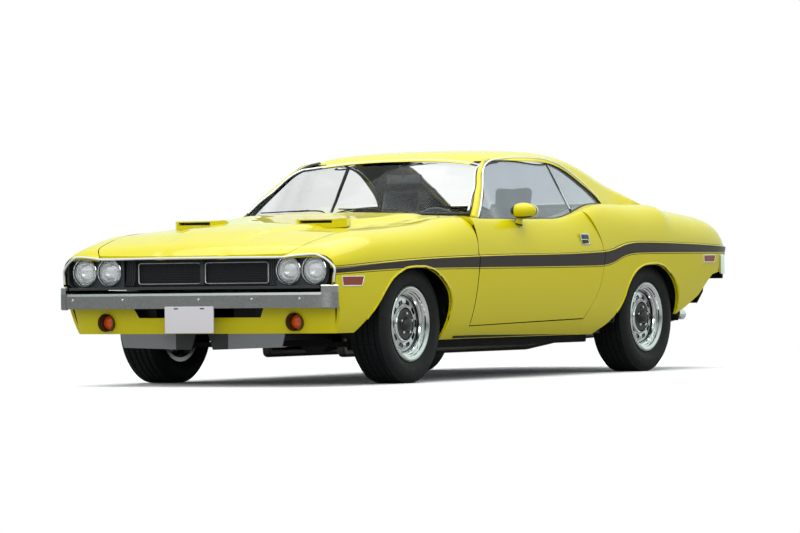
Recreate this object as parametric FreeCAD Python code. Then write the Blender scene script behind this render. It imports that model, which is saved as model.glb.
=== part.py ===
"""A two-door hardtop muscle car, built up from its separate pieces.

Millimetres. +X is the car's left, -Y its front, +Z up. The origin is on the
ground under the middle of the car. The left side is modelled and the right
side is its mirror image.
"""
import math
import os

import FreeCAD
import Part

V = FreeCAD.Vector
X, Y, Z = V(1, 0, 0), V(0, 1, 0), V(0, 0, 1)
ORIGIN = V(0, 0, 0)

# Clearances
CLEARANCE = 5.0
SHUT_GAP = 6.0
RUNNING_FIT = 0.05
SEAT_GAP = 0.3

# Running gear
TYRE_RADIUS = 329.0
TYRE_WIDTH = 236.0
BEAD_RADIUS = 190.0
RIM_LIP_RADIUS = 208.0
FRONT_AXLE_Y = -1510.0
REAR_AXLE_Y = 1284.0
FRONT_WHEEL_X = 758.0
REAR_WHEEL_X = 770.0
KINGPIN_X = 690.0
KINGPIN_REACH = 112.0
KINGPIN_RADIUS = 14.0
STUB_RADIUS = 22.0
HUB_RADIUS = 62.0
DRUM_RADIUS = 140.0
HUB_Z = TYRE_RADIUS

# Body shell
SKIN = 18.0
SILL_Z = 235.0
SILL_DEPTH = 70.0
JACK_FACE_Z = 236.0
FLOOR_Z = 240.0
FLOOR_THICKNESS = 14.0
DOOR_THICKNESS = 105.0
DOOR_FULLNESS = 1.75
FENDER_FULLNESS = 2.3
QUARTER_FULLNESS = 2.4
ROOF_THICKNESS = 34.0
ROOF_FOOT_Z = 800.0
SIDE_LEAN = 0.52
LEDGE_WIDTH = 12.0
LEDGE_RISE = 7.0
BELT_X = 868.0
COWL_SEAT_Z = 930.0
ROOF_SEAT_Z = 996.0
GLASS_INSET = 10.0
GLASS_THICKNESS = 5.0
VALANCE_LOW_Z = 290.0
BUMPER_LOW_Z = 430.0
BUMPER_END_Z = (425.0, 552.0)

# Cabin structure
FIREWALL_Y = -1035.0
FIREWALL_TOP_Z = 884.0
TUNNEL_RADIUS = 150.0
TUNNEL_AXIS_Z = 260.0
REAR_FOOT_Y = 700.0
REAR_FOOT_Z = 300.0
KICK_FRONT_Y = 1130.0
KICK_REAR_Y = 1480.0
KICK_Z = 480.0
BOOT_FLOOR_Z = 400.0
BOOT_HALF = 610.0
HOUSE_RADIUS = 430.0
SHEET = 10.0
BULKHEAD_Y = 1190.0
SHELF_Z = 975.0
TAIL_PANEL_Y = 2370.0
SEAT_X = 385.0
DASH_HALF = 730.0
WHEEL_TILT = 68.0

# Front and rear ends
RADIATOR_Y = -2255.0
GRILLE_BACK_Y = -2265.0
BUCKET_FRONT_Y = -2356.0
RAIL_IN = 380.0
RAIL_OUT = 470.0
APRON_TOP_Z = 688.0
LAMP_OUT_X = 750.0
LAMP_IN_X = 583.0
LAMP_Z = 627.0
LAMP_Y = -2330.0
LAMP_RADIUS = 80.0
PARKING_X = 612.0
PARKING_Z = 353.0
PARKING_RADIUS = 50.0
BRACKET_X = 400.0
BRACKET_WIDTH = 50.0
MIRROR_X = 940.0
MIRROR_Y = -355.0
MIRROR_Z = 958.0

# Power train and axles
SPRING_X = 530.0
SPRING_WIDTH = 60.0
EXHAUST_RADIUS = 28.0
GEARBOX_Z = 270.0
CROSSMEMBER_Z = 290.0
MOUNT_Z = 195.0
SLOT_COUNT = 10
SLOT_HALF = 20.0

# Door hinges
HINGE_X = 870.0
HINGE_AHEAD = 60.0
HINGE_HEIGHTS = (400.0, 790.0)
HINGE_LEAF = 50.0
LUG_GAP = 3.0
LUG_THICKNESS = 10.0
HINGE_PIN_RADIUS = 7.0
PILLAR_X = 795.0

# Bonnet and boot lid
LID_THICKNESS = 20.0
LID_PIN_RADIUS = 7.0
ARM_HALF = 9.0
ARM_THICKNESS = 12.0
BONNET_AXIS_Y = -812.0
BONNET_AXIS_Z = 893.0
BONNET_ARM_X = 690.0
BOOT_CROWN = 12.0
SCOOP_X = 400.0
SCOOP_FRONT_Y = -1752.0
SCOOP_REAR_Y = -1556.0
SCOOP_HEIGHT = 27.0
BOOT_FRONT_Y = 1606.0
BOOT_AXIS_Y = 1530.0
BOOT_AXIS_Z = 966.0
BOOT_ARM_X = 560.0
DECK_FRONT_Y = 1535.0

# Tables along the car: (place along Y, value). A smooth curve runs through each.
CREASE_X = ((-2425, 838), (-2400, 868), (-2300, 902), (-2100, 923), (-1800, 939), (-1510, 947), (-900, 953),
            (0, 961), (500, 965), (900, 965), (1284, 962), (1700, 944), (2000, 920), (2270, 885), (2425, 838))
CREASE_Z = ((-2425, 632), (-1547, 684), (-880, 699), (300, 714), (570, 720), (650, 728), (880, 764), (960, 773),
            (1100, 776), (1700, 768), (2425, 748))
FENDER_TOP_X = ((-2425, 590), (-2400, 608), (-2330, 660), (-2200, 684), (-2000, 700), (-1189, 738), (-955, 745))
FENDER_TOP_Z = ((-2425, 704), (-2400, 716), (-2330, 760), (-2200, 796), (-2000, 835), (-1500, 868), (-1189, 894),
                (-964, 925), (-850, 930))
BELT_Z = ((-880, 922), (-764, 915), (-391, 912), (163, 917), (344, 940), (617, 994), (760, 1006), (900, 1009),
          (1467, 1004))
QUARTER_TOP_X = ((480, 868), (617, 838), (760, 805), (900, 780), (1100, 757), (1230, 752), (1360, 762), (1450, 765),
                 (1540, 700), (1606, 656), (2300, 648), (2425, 590))
QUARTER_TOP_Z = ((480, 962), (617, 994), (760, 1006), (900, 1009), (1400, 1006), (1600, 992), (1783, 975),
                 (2000, 957), (2170, 940), (2300, 906), (2370, 860), (2425, 770))
ROOF_Z = ((-860, 908), (-760, 952), (-644, 1004), (-500, 1082), (-300, 1183), (-150, 1254), (-50, 1292), (100, 1320),
          (300, 1331), (500, 1330), (700, 1314), (850, 1290), (1000, 1246), (1150, 1190), (1300, 1128), (1450, 1062),
          (1560, 1006), (1640, 962))
RAIL_X = ((-860, 812), (-644, 772), (-467, 716), (-305, 652), (-156, 655), (100, 680), (390, 686), (551, 686),
          (738, 690), (889, 700), (1066, 706), (1230, 722), (1360, 750), (1450, 765), (1640, 790))
RAIL_Z = ((-860, 845), (-644, 962), (-467, 1098), (-305, 1222), (-156, 1250), (100, 1262), (390, 1262), (551, 1250),
          (738, 1212), (889, 1164), (1066, 1106), (1230, 1062), (1360, 1030), (1450, 1004), (1640, 952))
BONNET_CROWN = ((-2420, 3), (-2330, 9), (-2200, 14), (-2000, 18), (-1500, 22), (-860, 22))
BULGE_X = ((-2420, 120), (-2250, 200), (-1900, 350), (-1745, 420), (-1189, 540), (-860, 590))
BULGE_RISE = ((-2330, 0), (-2200, 6), (-1900, 16), (-1745, 22), (-1300, 24), (-1000, 14), (-860, 6))

# Shares of a section: (share of the height, how far in), and (share of the half width, share of the fall)
LOWER_STEPS = ((0.0, 108.0), (0.14, 68.0), (0.32, 40.0), (0.52, 21.0), (0.76, 8.0), (1.0, 0.0))
UPPER_ANGLES = (0.0, 14.0, 30.0, 46.0, 62.0, 77.0, 90.0)
CROWN_STEPS = ((-1, 1), (-0.93, 0.62), (-0.8, 0.3), (-0.55, 0.09), (0, 0), (0.55, 0.09), (0.8, 0.3), (0.93, 0.62),
               (1, 1))

# Outlines in the side view, (y, z)
DOOR_FRONT = ((-868, 960), (-911, 304))
DOOR_REAR = ((418, 327), (495, 422), (560, 520), (588, 640), (594, 737), (560, 810), (500, 900), (462, 975))
WINDOW_FRONT = ((-604, 912.4), (-296, 1217))
WINDOW_HEAD = ((-296, 1217), (-228, 1241), (81, 1254), (390, 1246), (551, 1210), (738, 1122), (870, 1040),
               (900, 1009))
GLASS_SPLIT = ((421, 950), (389, 1246))
REAR_LOW_EDGE = ((1560, 322), (1600, 330), (1744, 379), (1927, 452), (2050, 536), (2130, 580), (2330, 604),
                 (2394, 690), (2425, 735))
# Wheel openings, (y, z) from the front foot over the top to the rear foot
FRONT_ARCH = ((-2230, 150), (-2116, 283), (-2004, 378), (-1915, 470), (-1862, 539), (-1785, 596), (-1690, 630),
              (-1590, 639), (-1490, 637), (-1380, 617), (-1260, 560), (-1190, 500), (-1158, 430), (-1158, 330),
              (-1168, 150))
REAR_ARCH = ((540, 150), (620, 242), (716, 287), (807, 346), (880, 430), (932, 534), (1002, 600), (1130, 638),
             (1284, 642), (1411, 612), (1535, 546), (1600, 478), (1629, 400), (1630, 330), (1612, 150))
# Outer lines in plan, from the middle out, (x, y)
FRONT_BUMPER_PATH = ((0, -2430), (350, -2428), (650, -2421), (790, -2412), (848, -2397), (882, -2372), (898, -2340))
BUMPER_END_PATH = ((829, -2404), (848, -2397), (882, -2372), (898, -2340))
REAR_BUMPER_PATH = ((0, 2446), (400, 2443), (680, 2432), (790, 2412), (850, 2375), (880, 2320), (894, 2250))
VALANCE_PATH = ((0, -2342), (430, -2340), (680, -2332), (800, -2316), (856, -2290), (876, -2250))
REAR_VALANCE_PATH = ((0, 2398), (400, 2394), (620, 2384), (700, 2366), (730, 2340))


def follow(table, at):
    """The height at one place of the smooth curve through a table, with no overshoot."""
    if at <= table[0][0]:
        return float(table[0][1])
    if at >= table[-1][0]:
        return float(table[-1][1])
    steps = [b[0] - a[0] for a, b in zip(table, table[1:])]
    slopes = [(b[1] - a[1]) / s for a, b, s in zip(table, table[1:], steps)]
    tangents = [slopes[0]]
    for before, after in zip(slopes, slopes[1:]):
        tangents.append(0.0 if before * after <= 0 else 2.0 * before * after / (before + after))
    tangents.append(slopes[-1])
    i = max(k for k in range(len(steps)) if table[k][0] <= at)
    t = (at - table[i][0]) / steps[i]
    start, end = table[i][1], table[i + 1][1]
    return ((2 * t ** 3 - 3 * t ** 2 + 1) * start + (t ** 3 - 2 * t ** 2 + t) * steps[i] * tangents[i]
            + (3 * t ** 2 - 2 * t ** 3) * end + (t ** 3 - t ** 2) * steps[i] * tangents[i + 1])


def spline(points):
    curve = Part.BSplineCurve()
    curve.interpolate(points)
    return curve.toShape()


def line(a, b):
    return Part.LineSegment(a, b).toShape()


def mirrored(shape):
    return shape.mirror(ORIGIN, X)


def both_sides(shape):
    return Part.makeCompound([shape, mirrored(shape)])


def box(x0, x1, y0, y1, z0, z1):
    return Part.makeBox(x1 - x0, y1 - y0, z1 - z0, V(x0, y0, z0))


def cylinder(radius, start, end):
    along = end - start
    return Part.makeCylinder(radius, along.Length, start, along)


def side_prism(outline, x0, x1):
    """A straight-sided outline in the side view, (y, z) points, from x0 to x1."""
    points = [V(x0, y, z) for y, z in outline]
    return Part.Face(Part.makePolygon(points + points[:1])).extrude(V(x1 - x0, 0, 0))


def front_prism(outline, y0, y1):
    """A straight-sided outline in the front view, (x, z) points, from y0 to y1."""
    points = [V(x, y0, z) for x, z in outline]
    return Part.Face(Part.makePolygon(points + points[:1])).extrude(V(0, y1 - y0, 0))


def plan_prism(outline, z0, z1):
    """A straight-sided outline in plan, (x, y) points, from z0 to z1."""
    points = [V(x, y, z0) for x, y in outline]
    return Part.Face(Part.makePolygon(points + points[:1])).extrude(V(0, 0, z1 - z0))


def rounded_prism(x0, x1, z0, z1, radius, y0, y1):
    """A block along Y with its four long edges rounded."""
    block = box(x0, x1, y0, y1, z0, z1)
    edges = [e for e in block.Edges if abs(e.tangentAt(e.FirstParameter).y) > 0.99]
    return block.makeFillet(radius, edges)


def loft(wires):
    return Part.makeLoft(wires, True, False)


def lower_side(y, inset):
    """Points of the lower side at y, from the sill to the crease."""
    crease_x, crease_z = follow(CREASE_X, y), follow(CREASE_Z, y)
    points = []
    for share, tuck in LOWER_STEPS:
        points.append(V(crease_x - tuck - inset, y, SILL_Z + share * (crease_z - SILL_Z)))
    return points


def upper_side(y, top_x, top_z, inset, fullness):
    """Points over the shoulder at y: a quarter of a rounded square."""
    start_x = follow(CREASE_X, y) - LEDGE_WIDTH - inset
    start_z = follow(CREASE_Z, y) + LEDGE_RISE
    power = 2.0 / fullness
    points = []
    for degrees in UPPER_ANGLES:
        across = math.cos(math.radians(degrees)) ** power if degrees < 90.0 else 0.0
        rise = math.sin(math.radians(degrees)) ** power
        points.append(V(top_x + (start_x - top_x) * across, y, start_z + (top_z - inset - start_z) * rise))
    return points


def skin_wire(y, top_x_table, top_z_table, fullness):
    """The closed section of a body skin at y, as thick as SKIN."""
    top_x, top_z = follow(top_x_table, y), follow(top_z_table, y)
    outer_low, inner_low = lower_side(y, 0.0), lower_side(y, SKIN)
    outer_up = upper_side(y, top_x, top_z, 0.0, fullness)
    inner_up = upper_side(y, top_x, top_z, SKIN, fullness)
    return Part.Wire([
        spline(outer_low), line(outer_low[-1], outer_up[0]), spline(outer_up), line(outer_up[-1], inner_up[-1]),
        spline(inner_up[::-1]), line(inner_up[0], inner_low[-1]), spline(inner_low[::-1]),
        line(inner_low[0], outer_low[0])])


def door_wire(y):
    """The closed section of a door at y, outer skin to inner trim."""
    belt = follow(BELT_Z, y)
    outer_low = lower_side(y, 0.0)
    outer_up = upper_side(y, BELT_X, belt, 0.0, DOOR_FULLNESS)
    inner_x = BELT_X - DOOR_THICKNESS
    top_in, low_in = V(inner_x, y, belt), V(inner_x, y, SILL_Z)
    return Part.Wire([spline(outer_low), line(outer_low[-1], outer_up[0]), spline(outer_up),
                      line(outer_up[-1], top_in), line(top_in, low_in), line(low_in, outer_low[0])])


def door_outline(gap):
    """The door in the side view, its edges moved in by a gap."""
    front = [V(0, y + gap, z) for y, z in DOOR_FRONT]
    rear = [V(0, y - gap, z) for y, z in DOOR_REAR]
    front[-1].z += gap
    rear[0].z += gap
    edges = [line(*front), line(front[-1], rear[0]), spline(rear), line(rear[-1], front[0])]
    return Part.Face(Part.Wire(edges))


def arch_opening(outline):
    """A wheel opening: a smooth outline from foot to foot, closed below the body."""
    points = [V(500, y, z) for y, z in outline]
    return Part.Face(Part.Wire([spline(points), line(points[-1], points[0])])).extrude(V(700, 0, 0))


nodes = {}


def keep(name, shape):
    nodes[name] = shape


def keep_pair(name, shape):
    """A left-hand piece and its mirror image."""
    keep(name + "_left", shape)
    keep(name + "_right", mirrored(shape))


# Outer panels
def valance_zone():
    """The low front corner of the body, which the valance fills instead of the fender."""
    low, high = VALANCE_LOW_Z, BUMPER_LOW_Z + CLEARANCE
    return side_prism(((-2600, 0), (-2600, high), (-2296, high), (-2262, low), (-1900, low), (-1900, 0)), -1200, 1200)


def make_fender():
    stations = (-2425, -2412, -2390, -2350, -2280, -2150, -2000, -1800, -1600, -1400, -1200, -1040, -940, -860)
    fender = loft([skin_wire(y, FENDER_TOP_X, FENDER_TOP_Z, FENDER_FULLNESS) for y in stations])
    (top_y, top_z), (low_y, low_z) = DOOR_FRONT
    lean = (top_y - low_y) / (top_z - low_z)
    foot_y = low_y - lean * low_z
    door_side = side_prism(((top_y, top_z), (foot_y, 0), (0, 0), (0, top_z)), 0, 1200)
    behind_bumper = box(0, 1200, -2600, FRONT_BUMPER_PATH[-1][1], 0, BUMPER_END_Z[1] + CLEARANCE)
    return fender.cut(door_side).cut(arch_opening(FRONT_ARCH)).cut(valance_zone()).cut(behind_bumper)


def quarter_wall_wire(y):
    """The section of the thick wall beside the rear seat, half a skin inside the outer face."""
    top_x, top_z = follow(QUARTER_TOP_X, y), follow(QUARTER_TOP_Z, y)
    low = lower_side(y, SKIN / 2)
    high = upper_side(y, top_x, top_z, SKIN / 2, QUARTER_FULLNESS)
    inner_x = BELT_X - DOOR_THICKNESS
    low_z = SILL_Z + 5
    points = [V(top_x + 3, y, top_z - 1), V(inner_x, y, top_z - 1), V(inner_x, y, low_z), V(low[0].x, y, low_z)]
    low[0].z = low_z
    return Part.Wire([spline(low), line(low[-1], high[0]), spline(high[:-1]), line(high[-2], points[0])]
                     + [line(a, b) for a, b in zip(points, points[1:-1] + [low[0]])])


def make_quarter():
    stations = (300, 420, 520, 600, 680, 780, 900, 1050, 1200, 1350, 1480, 1580, 1700, 1900, 2100, 2250, 2340, 2390,
                2415, 2425)
    quarter = loft([skin_wire(y, QUARTER_TOP_X, QUARTER_TOP_Z, QUARTER_FULLNESS) for y in stations])
    wall_places = (300, 450, 600, 700, 800, REAR_AXLE_Y - HOUSE_RADIUS)
    quarter = quarter.fuse(loft([quarter_wall_wire(y) for y in wall_places]))
    edge = [V(0, y, z) for y, z in DOOR_REAR]
    corners = [edge[-1], V(0, edge[-1].y, 1300), V(0, 0, 1300), V(0, 0, 0), V(0, edge[0].y, 0), edge[0]]
    ahead = Part.Face(Part.Wire([spline(edge)] + [line(a, b) for a, b in zip(corners, corners[1:])]))
    below = side_prism(list(REAR_LOW_EDGE) + [(2600, 735), (2600, 0), (REAR_LOW_EDGE[0][0], 0)], 0, 1200)
    return quarter.cut(ahead.extrude(V(1200, 0, 0))).cut(arch_opening(REAR_ARCH)).cut(below)


def make_sill():
    """The rocker panel under the door, from fender to quarter, with a flat underside for a jack."""
    (low_y, low_z), (rear_y, rear_z) = DOOR_FRONT[1], DOOR_REAR[0]
    wires = []
    for share in (0.0, 0.33, 0.67, 1.0):
        y = low_y + share * (rear_y - low_y)
        outer = lower_side(y, 0.0)[:3]
        inner_x = outer[0].x - SILL_DEPTH
        wires.append(Part.Wire([spline(outer), line(outer[-1], V(inner_x, y, outer[-1].z)),
                                line(V(inner_x, y, outer[-1].z), V(inner_x, y, SILL_Z)),
                                line(V(inner_x, y, SILL_Z), outer[0])]))
    above = side_prism(((low_y - 50, low_z), (rear_y + 50, rear_z), (rear_y + 50, 600), (low_y - 50, 600)), 0, 1200)
    (top_y, top_z) = DOOR_FRONT[0]
    lean = (top_y - low_y) / (top_z - low_z)
    ahead = side_prism(((low_y, low_z), (low_y - lean * low_z, 0), (-1300, 0), (-1300, low_z)), 0, 1200)
    return loft(wires).cut(above).cut(ahead).cut(box(0, 1200, -1300, 800, 0, JACK_FACE_Z))


def hinge_y(z):
    """Where the door's hinge line stands at a height: parallel to the front shut line."""
    (top_y, top_z), (low_y, low_z) = DOOR_FRONT
    return top_y - HINGE_AHEAD + (z - top_z) * (top_y - low_y) / (top_z - low_z)


def side_x(y, z):
    """How far out the body side lies at a place along the car and a height."""
    points = lower_side(y, 0.0) + upper_side(y, BELT_X, follow(BELT_Z, y), 0.0, DOOR_FULLNESS)
    for low, high in zip(points, points[1:]):
        if low.z <= z <= high.z and high.z > low.z:
            return low.x + (high.x - low.x) * (z - low.z) / (high.z - low.z)
    return points[-1].x if z > points[-1].z else points[0].x


def hinge_relief():
    """The hollow in the door's front edge, so that it swings clear of the fender."""
    heights = [200 + 60 * k for k in range(13)]
    profile = [V(0, 0, heights[0])]
    for z in heights:
        outboard = max(side_x(hinge_y(z) + HINGE_AHEAD, z) - HINGE_X, 0.0)
        profile.append(V(math.hypot(outboard, HINGE_AHEAD) + CLEARANCE, 0, z))
    profile.append(V(0, 0, heights[-1]))
    turned = Part.Face(Part.makePolygon(profile + profile[:1])).revolve(ORIGIN, Z, 360)
    lean = math.degrees(math.atan2(hinge_y(1000) - hinge_y(0), 1000))
    turned.rotate(ORIGIN, X, -lean)
    turned.translate(V(HINGE_X, hinge_y(0), 0))
    return turned


def make_door():
    stations = (-930, -880, -800, -600, -391, -150, 50, 163, 250, 344, 450, 540, 620)
    door = loft([door_wire(y) for y in stations])
    door = door.common(door_outline(SHUT_GAP).extrude(V(1200, 0, 0))).cut(hinge_relief())
    for z in HINGE_HEIGHTS:
        y = hinge_y(z)
        arm = plan_prism(((HINGE_X - 66, y + 16), (HINGE_X - 52, y - 6), (HINGE_X, y - 12), (HINGE_X, y + 12),
                          (HINGE_X - 44, y + 18), (HINGE_X - 50, y + 30), (HINGE_X - 50, y + 125),
                          (HINGE_X - 66, y + 125)), z - HINGE_LEAF / 2, z + HINGE_LEAF / 2)
        boss = hinge_pin(z, 13.0, HINGE_LEAF / 2)
        door = door.fuse(arm).fuse(boss)
    for z in HINGE_HEIGHTS:
        door = door.cut(hinge_pin(z, HINGE_PIN_RADIUS + RUNNING_FIT, 60.0))
    return door


def hinge_pin(z, radius, half_length):
    return cylinder(radius, V(HINGE_X, hinge_y(z - half_length), z - half_length),
                    V(HINGE_X, hinge_y(z + half_length), z + half_length))


# The upper body
def roof_wire(y, inset):
    """The closed section of the cabin's upper part at y: a crowned top on leaning sides."""
    top, rail_x = follow(ROOF_Z, y) - inset, follow(RAIL_X, y) - inset
    rail_z = follow(RAIL_Z, y) - inset * 0.6
    crown = []
    for share, drop in CROWN_STEPS:
        crown.append(V(share * rail_x, y, top - drop * (top - rail_z)))
    foot_x = rail_x + (rail_z - ROOF_FOOT_Z) * SIDE_LEAN
    left, right = V(foot_x, y, ROOF_FOOT_Z), V(-foot_x, y, ROOF_FOOT_Z)
    return Part.Wire([spline(crown), line(crown[-1], left), line(left, right), line(right, crown[0])])


def roof_form(inset):
    stations = (-850, -760, -644, -500, -400, -305, -200, -100, 0, 150, 300, 450, 600, 750, 900, 1050, 1200, 1350,
                1450, 1560, 1640)
    return loft([roof_wire(y, inset) for y in stations])


def windscreen_prism(margin):
    """The windscreen opening seen from the front, shrunk by a margin."""
    base_z, top_z, corner_z = 942 + margin, 1262 - margin, 1216 - margin
    low, mid, high = 752 - margin, 684 - margin, 600 - margin
    left = spline([V(low, 0, base_z), V(mid, 0, 1081), V(high, 0, corner_z)])
    right = spline([V(-high, 0, corner_z), V(-mid, 0, 1081), V(-low, 0, base_z)])
    head = spline([V(high, 0, corner_z), V(0.55 * high, 0, top_z - 10), V(0, 0, top_z), V(-0.55 * high, 0, top_z - 10),
                   V(-high, 0, corner_z)])
    face = Part.Face(Part.Wire([left, head, right, line(V(-low, 0, base_z), V(low, 0, base_z))]))
    face.translate(V(0, -900, 0))
    return face.extrude(V(0, 900, 0))


def backlight_prism(margin):
    base_z, top_z, corner_z = 1014 + margin, 1284 - margin, 1262 - margin
    low, high = 612 - margin, 520 - margin
    head = spline([V(high, 0, corner_z), V(0.5 * high, 0, top_z - 4), V(0, 0, top_z), V(-0.5 * high, 0, top_z - 4),
                   V(-high, 0, corner_z)])
    face = Part.Face(Part.Wire([line(V(low, 0, base_z), V(high, 0, corner_z)), head,
                                line(V(-high, 0, corner_z), V(-low, 0, base_z)),
                                line(V(-low, 0, base_z), V(low, 0, base_z))]))
    face.translate(V(0, 700, 0))
    return face.extrude(V(0, 900, 0))


def side_window(outline, x0=500.0):
    """A side window's outline, (y, z): a list of straight or smooth stretches."""
    edges = []
    for stretch in outline:
        points = [V(x0, y, z) for y, z in stretch]
        edges.append(line(*points) if len(points) == 2 else spline(points))
    return Part.Face(Part.Wire(edges)).extrude(V(600, 0, 0))


def side_opening():
    """The whole side window's outline, door glass and quarter glass together."""
    belt = [(y, follow(BELT_Z, y)) for y in (900, 760, 617, 480, 344, 163, -100, -391)]
    return WINDOW_FRONT, WINDOW_HEAD, belt + [WINDOW_FRONT[0]]


def make_roof(outer, inner):
    roof = outer.cut(inner).cut(windscreen_prism(0.0)).cut(backlight_prism(0.0))
    opening = side_window(side_opening())
    roof = roof.cut(opening).cut(mirrored(opening))
    roof = roof.cut(box(-1000, 1000, -1000, 0, 0, COWL_SEAT_Z)).cut(box(-1000, 1000, -1000, -700, 0, 2000))
    roof = roof.cut(box(-1000, 1000, 0, 2000, 0, ROOF_SEAT_Z)).cut(box(-1000, 1000, DECK_FRONT_Y, 2000, 0, 2000))
    return roof


# Bonnet and boot lid
def bonnet_z(x, y):
    """Height of the bonnet's top: crowned, with a raised centre that widens rearwards."""
    half = follow(FENDER_TOP_X, y)
    share = min(abs(x) / half, 1.2)
    crown = follow(BONNET_CROWN, y) * (1.0 - share ** 2)
    edge = follow(BULGE_X, y)
    blend = min(max((edge + 35.0 - abs(x)) / 70.0, 0.0), 1.0)
    return follow(FENDER_TOP_Z, y) + crown + follow(BULGE_RISE, y) * blend * blend * (3.0 - 2.0 * blend)


def boot_z(x, y):
    half = follow(QUARTER_TOP_X, y)
    return follow(QUARTER_TOP_Z, y) + BOOT_CROWN * (1.0 - (x / half) ** 2)


def slab(height, x_places, y_places, thickness):
    """A sheet whose top follows a height function, with an upright edge."""
    surface = Part.BSplineSurface()
    surface.interpolate([[V(x, y, height(x, y)) for y in y_places] for x in x_places])
    return surface.toShape().extrude(V(0, 0, -thickness))


def spread(low, high, count):
    return [low + (high - low) * k / (count - 1) for k in range(count)]


def strut(points, half_width, x0, x1):
    """A bar bent in the side view: (y, z) points joined by rounded runs."""
    shape = None
    for (y0, z0), (y1, z1) in zip(points, points[1:]):
        run = math.hypot(y1 - y0, z1 - z0)
        across_y, across_z = -(z1 - z0) / run * half_width, (y1 - y0) / run * half_width
        piece = side_prism(((y0 + across_y, z0 + across_z), (y1 + across_y, z1 + across_z),
                            (y1 - across_y, z1 - across_z), (y0 - across_y, z0 - across_z)), x0, x1)
        piece = piece.fuse(cylinder(half_width, V(x0, y0, z0), V(x1, y0, z0)))
        shape = piece if shape is None else shape.fuse(piece)
    return shape


def lid_arm(axis_y, axis_z, reach, seat_y, seat_z, x0):
    """A goose-neck hinge arm from the lid's pivot down, along and up to the lid. reach is signed."""
    points = ((axis_y, axis_z), (axis_y + reach[0], axis_z + reach[1]), (seat_y, axis_z + reach[2]), (seat_y, seat_z))
    arm = strut(points, ARM_HALF, x0, x0 + ARM_THICKNESS)
    return arm.fuse(box(x0, x0 + ARM_THICKNESS, seat_y - ARM_HALF, seat_y + ARM_HALF, seat_z - 12, seat_z))


def make_scoop():
    """A low raised scoop on the bonnet with a slot in its front."""
    front_z, rear_z = bonnet_z(SCOOP_X, SCOOP_FRONT_Y), bonnet_z(SCOOP_X, SCOOP_REAR_Y)
    outline = [(SCOOP_X + dx, y) for dx, y in (
        (-165, SCOOP_FRONT_Y + 60), (-120, SCOOP_FRONT_Y), (120, SCOOP_FRONT_Y), (165, SCOOP_FRONT_Y + 60),
        (110, SCOOP_REAR_Y), (-110, SCOOP_REAR_Y))]
    side = side_prism(((SCOOP_FRONT_Y - 5, front_z - 22), (SCOOP_FRONT_Y - 5, front_z + SCOOP_HEIGHT),
                       (SCOOP_FRONT_Y + 70, front_z + SCOOP_HEIGHT + 6), (SCOOP_REAR_Y + 5, rear_z + 1),
                       (SCOOP_REAR_Y + 5, rear_z - 22)), SCOOP_X - 200, SCOOP_X + 200)
    slot = box(SCOOP_X - 105, SCOOP_X + 105, SCOOP_FRONT_Y - 10, SCOOP_FRONT_Y + 35, front_z + 6,
               front_z + SCOOP_HEIGHT - 5)
    return plan_prism(outline, front_z - 40, rear_z + 60).common(side).cut(slot)


def make_bonnet():
    top = slab(bonnet_z, spread(-770, 770, 31), spread(-2420, -860, 27), LID_THICKNESS)
    stations = (-2388, -2360, -2330, -2270, -2200, -2000, -1600, -1189, -1050, -975)
    left = [V(follow(FENDER_TOP_X, y) - SHUT_GAP, y, 0) for y in stations]
    right = [V(-p.x, p.y, 0) for p in left[::-1]]
    front = Part.Arc(right[-1], V(0, -2405, 0), left[0]).toShape()
    rear = spline([left[-1], V(640, -942, 0), V(300, -903, 0), V(0, -892, 0), V(-300, -903, 0), V(-640, -942, 0),
                   right[0]])
    face = Part.Face(Part.Wire([front, spline(left), rear, spline(right)]))
    bonnet = top.common(face.extrude(V(0, 0, 1200)))
    scoop = make_scoop()
    bonnet = bonnet.fuse(scoop).fuse(mirrored(scoop))
    seat_y = BONNET_AXIS_Y - 168
    for side in (-1, 1):
        x0 = side * BONNET_ARM_X - ARM_THICKNESS / 2
        seat_z = bonnet_z(x0, seat_y) - LID_THICKNESS / 2
        arm = lid_arm(BONNET_AXIS_Y, BONNET_AXIS_Z, (-105, -105, -70), seat_y, seat_z, x0)
        arm = arm.cut(cylinder(LID_PIN_RADIUS + RUNNING_FIT, V(x0 - 5, BONNET_AXIS_Y, BONNET_AXIS_Z),
                               V(x0 + 30, BONNET_AXIS_Y, BONNET_AXIS_Z)))
        bonnet = bonnet.fuse(arm)
    return bonnet


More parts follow.
